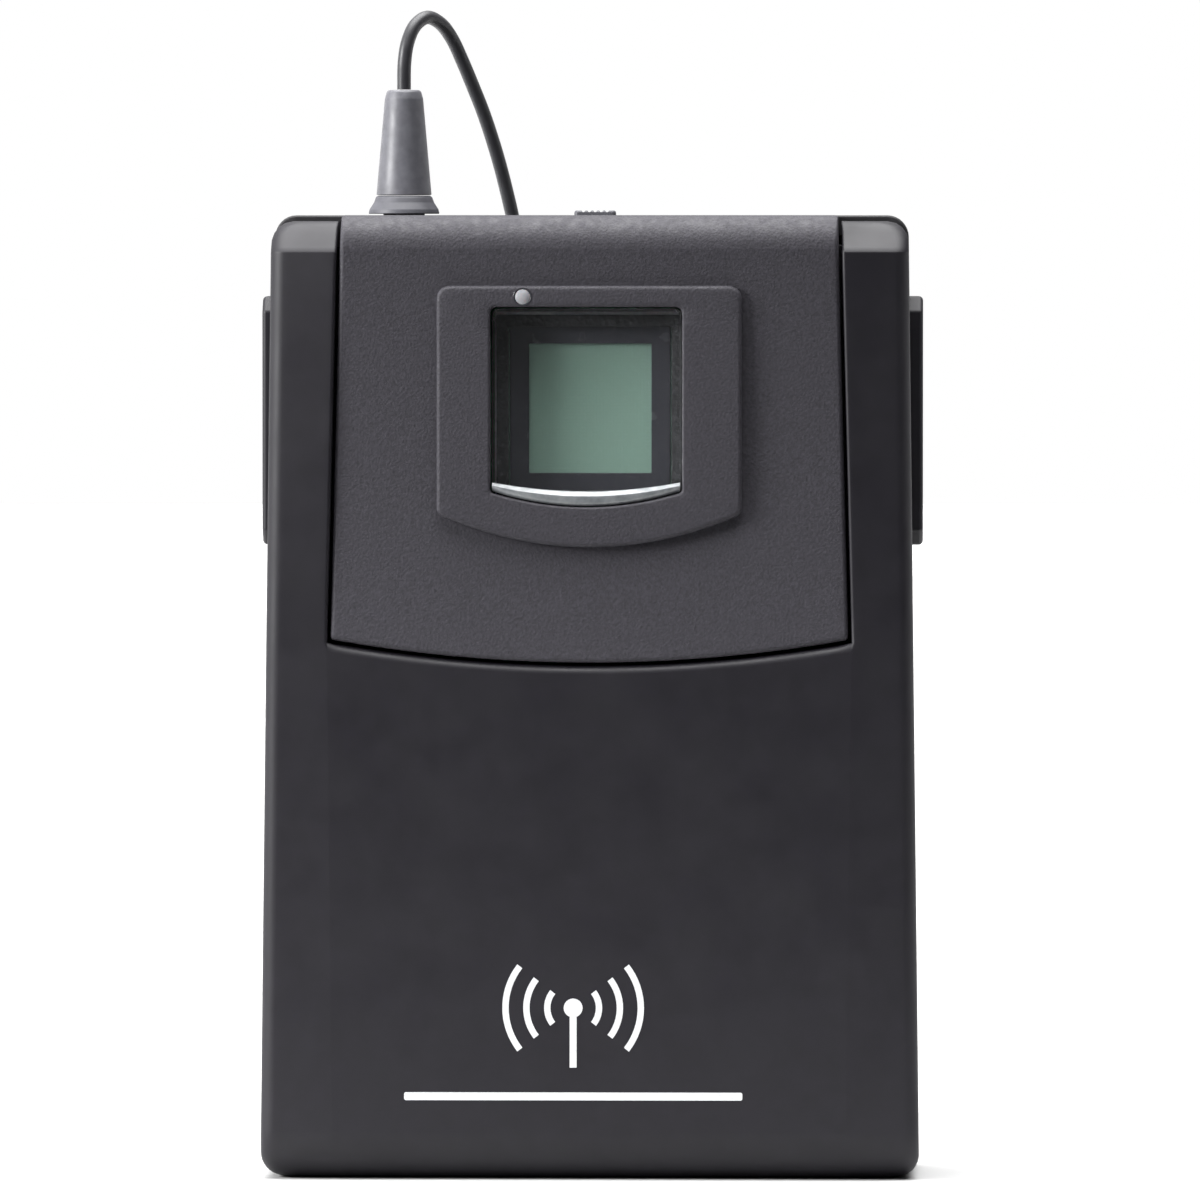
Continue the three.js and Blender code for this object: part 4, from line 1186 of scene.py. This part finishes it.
def lens_rings():
    """The lens's outline, from its flat face round its front edge to its back."""
    face = PAD_FACE + 0.5
    back = FRONT + WALL + 0.3
    edge = 0.12
    turns = arc(0, 90, 4)
    rings = [window_ring(-0.2 - edge * (1 - math.sin(t)), face + edge * (1 - math.cos(t))) for t in turns]
    return rings + [window_ring(-0.2, back)]


def lip_top(share):
    """The height at which the lens meets its foot, at a share of the half width from the middle: a shallow
    arc."""
    return WINDOW["ends"] + 1.0 - 0.9 * (1 - np.clip(share, -1, 1) ** 2)


class BODYPACK_OT_display(bpy.types.Operator):
    """Clear lens with a bevelled foot whose light grey is a painted reflection, the screen, its mask and
    light, and the small indicator in a black ring of painted shade
    """

    bl_idname = "bodypack.display"
    bl_label = "Display"

    def execute(self, context):
        self.lens()
        self.screen()
        self.indicator()
        return {"FINISHED"}

    def lens(self):
        rings = lens_rings()
        for ring in rings:
            ring[:, 2] = np.maximum(ring[:, 2], lip_top((ring[:, 0] - WINDOW["x"]) / WINDOW["half"]))
        centre, rear = rings[0].mean(0), rings[-1].mean(0)
        front = [centre + (rings[0] - centre) * share for share in (0.0, 0.5)]
        back = [rear + (rings[-1] - rear) * share for share in (0.5, 0.0)]
        thing = new_piece(
            "window_lens", [surface(np.stack(front + rings + back))], "lens", "case",
            ["display_window"])
        thing.visible_shadow = False
        self.lip()

    def lip(self):
        """The bevelled foot: its profile slopes forward from the lens's face to a ridge level with the pad,
        and back again to its lower edge, which follows the window's arc."""
        half = WINDOW["half"] - 0.22
        share = np.linspace(-1, 1, 49)[:, None]
        x = WINDOW["x"] + half * share
        foot = WINDOW["ends"] + 0.1 - WINDOW["sag"] * (1 - share**2)
        top = lip_top(share)
        back, face = FRONT + WALL + 0.2, PAD_FACE + 0.5
        profile = np.array([
            (0.0, 3.0), (0.0, 0.05), (0.05, 0.0), (0.27, -0.36), (0.33, -0.42), (0.4, -0.42), (0.9, -0.12),
            (0.96, -0.06), (1.0, 0.05), (1.0, 3.0)])
        z = top + (foot - top) * profile[:, 0][None]
        y = np.clip(face + profile[:, 1], None, back)[None] * np.ones_like(share)
        grid = np.stack([np.broadcast_to(x, z.shape), y, z], -1)
        grid = np.concatenate([grid, grid[:, :1]], 1)
        ends = [np.broadcast_to(grid[i, :-1].mean(0), grid[i].shape)[None] for i in (0, -1)]
        grid = np.concatenate([ends[0], grid, ends[1]])
        # The foot's light grey finish is a painted reflection of the overhead light in the clear bevel.
        new_piece("window_lip", [surface(grid)], "lip", "case")

    def screen(self):
        low, high = box("lcd_glass")
        glass = brick(low[0], high[0], low[1], high[1], low[2], high[2], 0.12)
        new_piece("lcd_fine", [glass], "screen", "case", ["lcd_glass"])
        softened("display_mask", "mask", width=0.06)
        softened("display_gasket", "foam", width=0.08)
        softened("lcd_holder", "white")
        softened("lcd_backlight", "white")

    def indicator(self):
        x, _, z = middle("led_lens")
        long = box("led_lens")[1][1] - PAD_FACE
        profile = [(0, 0.0), (0.3, 0.015), (0.55, 0.06), (0.74, 0.14), (0.8, 0.24), (0.8, long), (0, long)]
        dome = turned(profile, (x, PAD_FACE - 0.16, z), "y")
        new_piece("led_dome", [dome], "white", "case", ["led_lens"])
        # A thin black ring round the dome: painted shade that stands for the groove the dome sits in.
        ring = [(0.79, 0.3), (0.79, 0.0), (0.84, -0.03), (0.92, -0.03), (0.97, 0.0), (0.97, 0.3), (0.79, 0.3)]
        groove_shade = turned(ring, (x, PAD_FACE, z), "y")
        new_piece("led_bezel", [groove_shade], "mask", "case")


# ---- Side catches ----


def catch_parts():
    """The right catch: an eight-sided pad with rounded edges, and behind it a flange and a hooked finger."""
    surface_x = CATCH[1][0] - 1.2
    low, high = 63.6, 88.8
    near, far, cut = 0.5, 7.5, 1.5
    pad = outline([
        (near, low + cut, 0.5), (near + cut, low, 0.5), (far - cut, low, 0.5), (far, low + cut, 0.5),
        (far, high - cut, 0.5), (far - cut, high, 0.5), (near + cut, high, 0.5), (near, high - cut, 0.5)], 4)
    return [
        slab(pad, surface_x - 3.2, CATCH[1][0], "x", 0.45, 5),
        brick(29, 29.8, near - 1, far + 1, low - 1, high + 1, 0.15, "x", 0.6),
        brick(28.6, 29.25, -6.6, 4, CATCH_Z - 4, CATCH_Z + 4, 0.12, "x", 0.3),
        brick(28.6, 29.35, -6.6, -5.5, CATCH_Z - 4, CATCH_Z + 4, 0.12, "x", 0.2),
    ]


class BODYPACK_OT_catches(bpy.types.Operator):
    """The two squeeze catches with grip grooves, and the small coil spring behind each"""

    bl_idname = "bodypack.catches"
    bl_label = "Side catches"

    def execute(self, context):
        parts = catch_parts()
        x = CATCH[1][0] + 0.15
        grooves = [rod(0.5, 4.6, (x, 1.7, CATCH_Z + at), "y", 0.4, 20) for at in np.arange(-9, 9.1, 3)]
        for side, name in (("right", "catch_right"), ("left", "catch_left")):
            chosen = parts if side == "right" else [mirrored(part) for part in parts]
            tools = grooves if side == "right" else [mirrored(part) for part in grooves]
            new_piece(name + "_fine", chosen, "door", name, [name], tools)
            low, high = box("catch_spring_" + side)
            seat, flip = (low[0] + 0.25, 1) if side == "right" else (high[0] - 0.25, -1)
            line = helix(4.5, 1.9, 1.9, high[0] - low[0] - 1.6, (seat, *((low + high) / 2)[1:]), flip)
            spring = carried(line, 0.25, 0.25, (1, 0, 0), 10)
            new_piece(
                "catch_coil_" + side, [spring], "steel", "case", ["catch_spring_" + side])
        return {"FINISHED"}


# ---- Aerial ----

# The wire's middle line, in metres: up out of the boot, over in a small arch, and down behind the case.
WIRE_ROUTE = (
    (-0.01915, 0.00200, 0.10975),
    (-0.01910, 0.00200, 0.11250),
    (-0.01880, 0.00230, 0.11450),
    (-0.01810, 0.00310, 0.11620),
    (-0.01690, 0.00450, 0.11710),
    (-0.01560, 0.00600, 0.11650),
    (-0.01450, 0.00740, 0.11500),
    (-0.01350, 0.00860, 0.11280),
    (-0.01245, 0.00980, 0.11020),
    (-0.01145, 0.01080, 0.10760),
    (-0.01060, 0.01170, 0.10500),
    (-0.00985, 0.01250, 0.10240),
    (-0.00915, 0.01320, 0.09960),
    (-0.00845, 0.01380, 0.09640),
    (-0.00790, 0.01420, 0.09260),
    (-0.00750, 0.01430, 0.08840),
    (-0.00720, 0.01420, 0.08400),
    (-0.00700, 0.01400, 0.07920),
    (-0.00690, 0.01390, 0.07400),
    (-0.00690, 0.01390, 0.06860),
    (-0.00690, 0.01390, 0.06300),
)
WIRE_RADIUS = 0.7


def smooth_route(points, per_span=6):
    """A centripetal Catmull-Rom curve: each span is a cubic through its ends, whose slopes come from its
    neighbours, weighted by the square roots of the distances between them."""
    points = np.asarray(points, float)
    points = np.concatenate([2 * points[:1] - points[1:2], points, 2 * points[-1:] - points[-2:-1]])
    gap = np.sqrt(np.linalg.norm(np.diff(points, axis=0), axis=1))[:, None]
    before, here, after = gap[:-2], gap[1:-1], gap[2:]
    p0, p1, p2, p3 = points[:-3], points[1:-2], points[2:-1], points[3:]
    out = here * ((p1 - p0) / before - (p2 - p0) / (before + here) + (p2 - p1) / here)
    into = here * ((p2 - p1) / here - (p3 - p1) / (here + after) + (p3 - p2) / after)
    t = np.linspace(0, 1, per_span + 1)[:-1, None, None]
    curve = (
        (2 * t**3 - 3 * t**2 + 1) * p1 + (t**3 - 2 * t**2 + t) * out
        + (3 * t**2 - 2 * t**3) * p2 + (t**3 - t**2) * into
    )
    return np.concatenate([curve.transpose(1, 0, 2).reshape(-1, 3), points[-2:-1]])


class BODYPACK_OT_aerial(bpy.types.Operator):
    """Quarter-wave aerial: a stiff sheathed wire out of a tapered boot, over and down behind the case"""

    bl_idname = "bodypack.aerial"
    bl_label = "Aerial"

    def execute(self, context):
        route = smooth_route(WIRE_ROUTE)
        sheath = carried(route / MM, WIRE_RADIUS, WIRE_RADIUS, (0.8, -0.6, 0.0), 20)
        wire = new_piece("aerial_wire", [sheath], "sheath", "case", ["antenna_wire"])
        tip_low, tip_high = box("antenna_tip")
        tall = tip_high[2] - tip_low[2]
        profile = outline([(0, 0), (1.0, 0, 0.7), (1.05, tall, 0.3), (0, tall)], 7, False)
        bead = turned(profile, (*middle("antenna_tip")[:2], tip_low[2]), "z")
        tip = new_piece("aerial_tip", [bead], "sheath", "case", ["antenna_tip"])
        self.boot()
        self.ferrule()
        return {"FINISHED"}

    def boot(self):
        x, y, _ = middle("antenna_boot")
        low, high = box("antenna_boot")
        foot, top = low[2], high[2]
        profile = outline([
            (0, foot), (2.8, foot, 0.1), (1.95, top - 0.9, 0.3), (1.7, top, 0.4), (0.95, top, 0.1),
            (0.9, top - 0.35, 0.05), (0, top - 0.35)], 6, False)
        boot = turned(profile, (x, y, 0), "z", 56)
        new_piece("aerial_boot", [boot], "rubber", "case", ["antenna_boot"])

    def ferrule(self):
        x, y, _ = middle("antenna_ferrule")
        low, high = box("antenna_ferrule")
        top = high[2]
        profile = outline([
            (0, low[2]), (2.1, low[2], 0.1), (2.1, HEIGHT + 0.15), (3.6, HEIGHT + 0.15, 0.08),
            (3.5, HEIGHT + 0.6, 0.4), (3.05, top - 0.7, 0.8), (2.8, top, 0.4), (0, top)], 7, False)
        ferrule = turned(profile, (x, y, 0), "z", 56)
        new_piece("aerial_ferrule", [ferrule], "grey", "case", ["antenna_ferrule"])
        softened("antenna_nut", "nickel")


# ---- Top: power switch and microphone socket ----


class BODYPACK_OT_top_parts(bpy.types.Operator):
    """Power switch with its ribbed knob, and the four-pin microphone socket"""

    bl_idname = "bodypack.top_parts"
    bl_label = "Switch and socket"

    def execute(self, context):
        low, high = box("switch_knob")
        x, y, _ = (low + high) / 2
        cap = brick(x - 2.1, x + 2.1, y - 1.3, y + 1.3, 94.9, high[2], 0.25, "z", 0.4)
        skirt = brick(low[0], high[0], low[1], high[1], low[2], 94.6, 0.15, "z")
        stem = brick(x - 1, x + 1, y - 0.8, y + 0.8, 94, 95.2, 0.1, "z")
        spread = (-1.2, -0.6, 0, 0.6, 1.2)
        ribs = [rod(0.24, 5, (x + at, y - 2.5, high[2] + 0.06), "y", 0, 16) for at in spread]
        parts = [cap, skirt, stem]
        new_piece("power_knob", parts, "knob", "power_switch", ["switch_knob"], ribs)
        softened("switch_body", "inside", width=0.2)
        self.socket()
        return {"FINISHED"}

    def socket(self):
        low, high = box("mic_socket_shell")
        x, y, _ = (low + high) / 2
        inner, outer, collar, foot, top = 4.2, 4.9, 5.4, low[2], high[2]
        profile = outline([
            (inner, foot), (outer - 0.4, foot, 0.1), (outer - 0.4, 93.4), (collar, 93.4, 0.1),
            (collar, 94.7, 0.1), (outer, 94.7), (outer, top, 0.15), (inner + 0.1, top, 0.12),
            (inner, top - 0.2), (inner, foot)], 4, False)
        shell = turned(profile, (x, y, 0), "z", 64)
        new_piece("socket_shell", [shell], "nickel", "case", ["mic_socket_shell"])
        low, high = box("mic_socket_insert")
        pins = [middle(f"mic_socket_pin_{number}") for number in (1, 2, 3, 4)]
        holes = [rod(0.62, 10, (pin[0], pin[1], foot - 3), "z", 0, 20) for pin in pins]
        key = brick(x - 0.6, x + 0.6, y - 4.4, y - 3.6, low[2] - 1, high[2] + 1, 0)
        insert = rod(inner - 0.15, high[2] - low[2], (x, y, low[2]), "z", 0.2, 48)
        new_piece(
            "socket_insert", [insert], "inside", "case", ["mic_socket_insert"],
            holes + [key])
        for number, pin in enumerate(pins, 1):
            low, high = box(f"mic_socket_pin_{number}")
            tall = high[2] - low[2]
            profile = outline([
                (0, 0), (0.46, 0, 0.05), (0.46, tall - 0.2, 0.3), (0.22, tall, 0.15), (0, tall)], 5, False)
            thing = turned(profile, (pin[0], pin[1], low[2]), "z", 20)
            new_piece(
                f"socket_pin_{number}", [thing], "gold", "case",
                [f"mic_socket_pin_{number}"])


# ---- Belt clip ----


class BODYPACK_OT_belt_clip(bpy.types.Operator):
    """Sprung belt clip: a folded blade that turns on a pin in a bracket on the back"""

    bl_idname = "bodypack.belt_clip"
    bl_label = "Belt clip"

    def execute(self, context):
        pivot_y, pivot_z = CLIP_PIN[1], CLIP_PIN[2]
        low, high = box("clip_blade")
        path = outline([
            (19.05, high[2]), (18.2, pivot_z - 5, 6), (18.2, 15, 6), (13.9, 9.8, 1.7),
            (16.6, low[2] + 0.15)], 9, False)
        t = np.concatenate([[0], np.cumsum(np.linalg.norm(np.diff(path, axis=0), axis=1))])
        even = np.linspace(0, t[-1], 81)
        path = np.stack([np.interp(even, t, path[:, i]) for i in (0, 1)], 1)
        near_end = np.minimum(even, t[-1] - even)
        wide = high[0] - quarter(near_end, 3.0)
        tall = np.where(near_end < 0.5, 0.9 - quarter(near_end, 0.5), 0.9)
        line = np.column_stack([np.zeros(len(path)), path])
        blade = carried(line, tall, wide, (1, 0, 0), 48, 6.0)
        knuckle = outline([
            (pivot_y - 1.75, pivot_z - 1.75, 1.6), (18.5, pivot_z - 3.5), (18.7, pivot_z + 3.5),
            (pivot_y - 1.75, pivot_z + 1.75, 1.6)])
        knuckles = [slab(knuckle, *sorted((sign * 3.6, sign * 6.9)), "x", 0.2) for sign in (-1, 1)]
        hole = rod(1.15, 30, (-15, pivot_y, pivot_z), "x", 0)
        new_piece(
            "clip_blade_fine", [blade] + knuckles, "black_steel", "belt_clip",
            ["clip_blade"], [hole])
        softened("clip_bracket", "shell", width=0.3)
        pin = rod(0.95, 18.4, (-9.2, pivot_y, pivot_z), "x", 0.25)
        new_piece("clip_pin_fine", [pin], "steel", "case", ["clip_pin"])
        coil = carried(helix(5.5, 1.45, 1.45, 5.6, (-2.8, pivot_y, pivot_z)), 0.25, 0.25, (1, 0, 0), 10)
        new_piece("clip_coil", [coil], "steel", "case", ["clip_spring"])
        return {"FINISHED"}


class BODYPACK_OT_screws(bpy.types.Operator):
    """Six small pan-head screws with crossed slots, and the door's two hinge pins"""

    bl_idname = "bodypack.screws"
    bl_label = "Screws and pins"

    def execute(self, context):
        names = [f"case_screw_{i}" for i in (1, 2, 3, 4)] + ["clip_screw_1", "clip_screw_2"]
        for name in names:
            low, high = box(name)
            x, _, z = (low + high) / 2
            head, shank = high[1] - 1.3, low[1]
            profile = outline([
                (0, shank), (0.85, shank, 0.3), (0.85, head), (1.95, head, 0.15), (1.95, high[1] - 0.35, 0.5),
                (1.0, high[1], 0.8), (0, high[1])], 6, False)
            slots = [
                brick(x - 1.1, x + 1.1, high[1] - 0.6, high[1] + 1, z - 0.2, z + 0.2, 0),
                brick(x - 0.2, x + 0.2, high[1] - 0.601, high[1] + 1, z - 1.1, z + 1.1, 0),
            ]
            screw = turned(profile, (x, 0, z), "y", 40)
            new_piece(name + "_fine", [screw], "black_steel", "case", [name], slots)
        for side in ("left", "right"):
            low, high = box("hinge_pin_" + side)
            pin = rod(0.85, high[0] - low[0], (low[0], *HINGE), "x", 0.2)
            new_piece("pin_" + side, [pin], "steel", "case", ["hinge_pin_" + side])
        return {"FINISHED"}


# ---- Battery compartment and controls ----


class BODYPACK_OT_battery(bpy.types.Operator):
    """Two cells in their tray, with the springs and contact plates at their ends"""

    bl_idname = "bodypack.battery"
    bl_label = "Battery compartment"

    def execute(self, context):
        softened("battery_tray", "inside", width=0.25)
        for node in ("contact_plate_negative", "contact_plate_positive", "contact_bridge"):
            softened(node, "nickel", width=0.08)
        for number, flip in ((1, 1), (2, -1)):
            low, high = box(f"battery_cell_{number}")
            _, y, z = (low + high) / 2
            length, radius = high[0] - low[0], (high[2] - low[2]) / 2
            body = length - 1.2
            profile = outline([
                (0, 0.15), (radius - 1.6, 0.15, 0.2), (radius - 1.4, 0, 0.1), (radius, 0, 0.55),
                (radius, body, 0.6), (radius - 1.2, body, 0.15), (radius - 1.3, body - 0.25, 0.15),
                (2.9, body - 0.25, 0.1), (2.7, length, 0.5), (0, length)], 5, False)
            cell = turned(profile, (0, 0, 0), "x", 56)
            points = cell[0] * [flip, 1, 1] + [low[0] if flip > 0 else high[0], y, z]
            node = f"battery_cell_{number}"
            new_piece(f"cell_{number}", [(points, cell[1])], "sleeve", "case", [node])
            low, high = box(f"battery_spring_{number}")
            start = low[0] + 0.3 if flip > 0 else high[0] - 0.3
            coil = carried(helix(3.2, 3.6, 1.8, 3.6, (start, y, z), flip), 0.3, 0.3, (1, 0, 0), 10)
            node = f"battery_spring_{number}"
            new_piece(f"cell_spring_{number}", [coil], "steel", "case", [node])
        return {"FINISHED"}


class BODYPACK_OT_controls(bpy.types.Operator):
    """Three setting keys and the gain switch, under the door"""

    bl_idname = "bodypack.controls"
    bl_label = "Keys and gain switch"

    def execute(self, context):
        for node, body in (("key_set", "set_key"), ("key_up", "up_key"), ("key_down", "down_key")):
            low, high = box(node)
            x, _, z = (low + high) / 2
            front = low[1]
            profile = outline([
                (0, front + 0.12), (1.2, front + 0.04, 0.5), (1.85, front, 0.45), (1.85, front + 2.4),
                (2.5, front + 2.4, 0.1), (2.5, front + 3.2, 0.1), (1.2, front + 3.2), (1.2, high[1], 0.15),
                (0, high[1])], 6, False)
            key = turned(profile, (x, 0, z), "y", 40)
            new_piece(node + "_fine", [key], "keys", body, [node])
        low, high = box("gain_switch_knob")
        x, _, z = (low + high) / 2
        cap = brick(x - 1, x + 1, low[1], low[1] + 2.3, z - 0.9, z + 0.9, 0.2)
        foot = brick(low[0], high[0], high[1] - 0.4, high[1], low[2], high[2], 0.1)
        lines = [rod(0.14, 4, (x + at, low[1] - 0.05, z - 2), "z", 0, 12) for at in (-0.5, 0, 0.5)]
        parts = [cap, foot]
        new_piece(
            "gain_knob", parts, "keys", "gain_switch", ["gain_switch_knob"], lines)
        softened("gain_switch_body", "nickel")
        softened("control_board", "board", width=0.05)
        return {"FINISHED"}


class BODYPACK_OT_boards(bpy.types.Operator):
    """The boards inside the case, with the radio's screening can and the connector between them"""

    bl_idname = "bodypack.boards"
    bl_label = "Boards"

    def execute(self, context):
        softened("main_board", "board", width=0.05)
        softened("display_board", "board", width=0.05)
        softened("shield_can", "nickel", width=0.2)
        softened("board_connector", "inside")
        return {"FINISHED"}


# ---- Stage ----


class BODYPACK_OT_camera(bpy.types.Operator):
    """Camera straight in front, a little above the middle and a little to the right of it"""

    bl_idname = "bodypack.camera"
    bl_label = "Camera"

    def execute(self, context):
        view_width, distance, sensor = 0.1204, 1.2, 36.0
        side, up = math.radians(1.5), math.radians(1.75)
        aim = Vector((0.0011, FRONT * MM, 0.0584))
        data = bpy.data.cameras.new("camera")
        data.sensor_width = sensor
        data.lens = sensor * distance / view_width
        data.clip_start, data.clip_end = 0.01, 20
        camera = bpy.data.objects.new("camera", data)
        context.scene.collection.objects.link(camera)
        away = Vector((math.sin(side) * math.cos(up), -math.cos(side) * math.cos(up), math.sin(up)))
        camera.location = aim + away * distance
        camera.rotation_euler = (-away).to_track_quat("-Z", "Y").to_euler()
        context.scene.camera = camera
        return {"FINISHED"}


def lamp(name, place, aim, size, power):
    """A soft panel of light, square to the line from it to what it lights."""
    data = bpy.data.lights.new(name, "AREA")
    data.size = size
    data.energy = power
    thing = bpy.data.objects.new(name, data)
    bpy.context.scene.collection.objects.link(thing)
    thing.location = place
    thing.rotation_euler = (Vector(aim) - Vector(place)).to_track_quat("-Z", "Y").to_euler()
    return thing


class BODYPACK_OT_stage(bpy.types.Operator):
    """Pale paper that ends a little way in front, light from all round with a bright ceiling, and one lamp
    at the left"""

    bl_idname = "bodypack.stage"
    bl_label = "Stage"

    def execute(self, context):
        x, y = np.meshgrid([-3.0, 3.0], [-0.075, 3.0])
        points, quads = surface(np.stack([x, y, 0 * x], -1))
        mesh = bpy.data.meshes.new("paper")
        mesh.from_pydata(points.tolist(), [], quads.tolist())
        paper = bpy.data.objects.new("paper", mesh)
        context.scene.collection.objects.link(paper)
        mesh.materials.append(finish("paper"))
        context.scene.world = studio_light()
        context.scene.view_settings.view_transform = "Standard"
        lamp("key", (-0.36, -0.16, 0.2), (0, 0, 0.06), 0.16, 2.4)
        return {"FINISHED"}


CEILING = 9.0  # how bright the round patch overhead is
SIDES = {"back": 0.5, "front": 0.09, "left": 1.8, "right": 0.12}


def studio_light():
    """Light from all round: a bright round patch overhead, and below it a level that goes smoothly from the
    front to the back and from the left to the right. The background itself is seen as plain white."""
    world = bpy.data.worlds.new("studio")
    world.use_nodes = True
    tree = world.node_tree
    tree.nodes.clear()
    direction = add_node(tree, "ShaderNodeTexCoord").outputs["Generated"]
    part = add_node(tree, "ShaderNodeSeparateXYZ", {"Vector": direction})

    def shift(along, start, stop, low, high):
        limits = {"From Min": start, "From Max": stop, "To Min": low, "To Max": high}
        limits["Value"] = part.outputs[along]
        node = add_node(tree, "ShaderNodeMapRange", limits, interpolation_type="SMOOTHSTEP")
        return node.outputs["Result"]

    def joined(one, other, operation):
        return add_node(tree, "ShaderNodeMath", {0: one, 1: other}, operation=operation).outputs["Value"]

    depth = shift("Y", -0.8, 0.5, SIDES["front"], SIDES["back"])
    level = joined(depth, shift("X", -0.8, 0.8, SIDES["left"], SIDES["right"]), "MULTIPLY")
    strength = joined(level, shift("Z", 0.72, 0.94, 0.0, CEILING), "ADD")
    seen = add_node(tree, "ShaderNodeLightPath").outputs["Is Camera Ray"]
    light, plain = (
        add_node(tree, "ShaderNodeBackground", {"Color": (1.0, 1.0, 1.0, 1.0), "Strength": amount})
        for amount in (strength, 1.0))
    both = add_node(
        tree, "ShaderNodeMixShader",
        {0: seen, 1: light.outputs["Background"], 2: plain.outputs["Background"]})
    add_node(tree, "ShaderNodeOutputWorld", {"Surface": both.outputs["Shader"]})
    return world


class BODYPACK_PT_sidebar(bpy.types.Panel):
    """The steps that make the transmitter, in order, with its edge sizes and colours"""

    bl_idname = "BODYPACK_PT_sidebar"
    bl_label = "Bodypack transmitter"
    bl_space_type = "VIEW_3D"
    bl_region_type = "UI"
    bl_category = "Bodypack"

    def draw(self, context):
        for step in STEPS:
            self.layout.operator(step.bl_idname)
        for group in (context.scene.bodypack_sizes, context.scene.bodypack_colours):
            for name in group.__annotations__:
                self.layout.prop(group, name)


STEPS = (
    BODYPACK_OT_camera,
    BODYPACK_OT_aerial,
    BODYPACK_OT_rear_shell,
    BODYPACK_OT_front_panel,
    BODYPACK_OT_battery_door,
    BODYPACK_OT_sign,
    BODYPACK_OT_display,
    BODYPACK_OT_catches,
    BODYPACK_OT_top_parts,
    BODYPACK_OT_belt_clip,
    BODYPACK_OT_screws,
    BODYPACK_OT_battery,
    BODYPACK_OT_controls,
    BODYPACK_OT_boards,
    BODYPACK_OT_stage,
)
CLASSES = (BodypackSizes, BodypackColours, *STEPS, BODYPACK_PT_sidebar)


def register():
    for each in CLASSES:
        bpy.utils.register_class(each)
    bpy.types.Scene.bodypack_sizes = PointerProperty(type=BodypackSizes)
    bpy.types.Scene.bodypack_colours = PointerProperty(type=BodypackColours)


def unregister():
    del bpy.types.Scene.bodypack_colours
    del bpy.types.Scene.bodypack_sizes
    for each in reversed(CLASSES):
        bpy.utils.unregister_class(each)


def main():
    register()
    for step in STEPS:
        group, name = step.bl_idname.split(".")
        getattr(getattr(bpy.ops, group), name)()


if __name__ == "__main__":
    main()
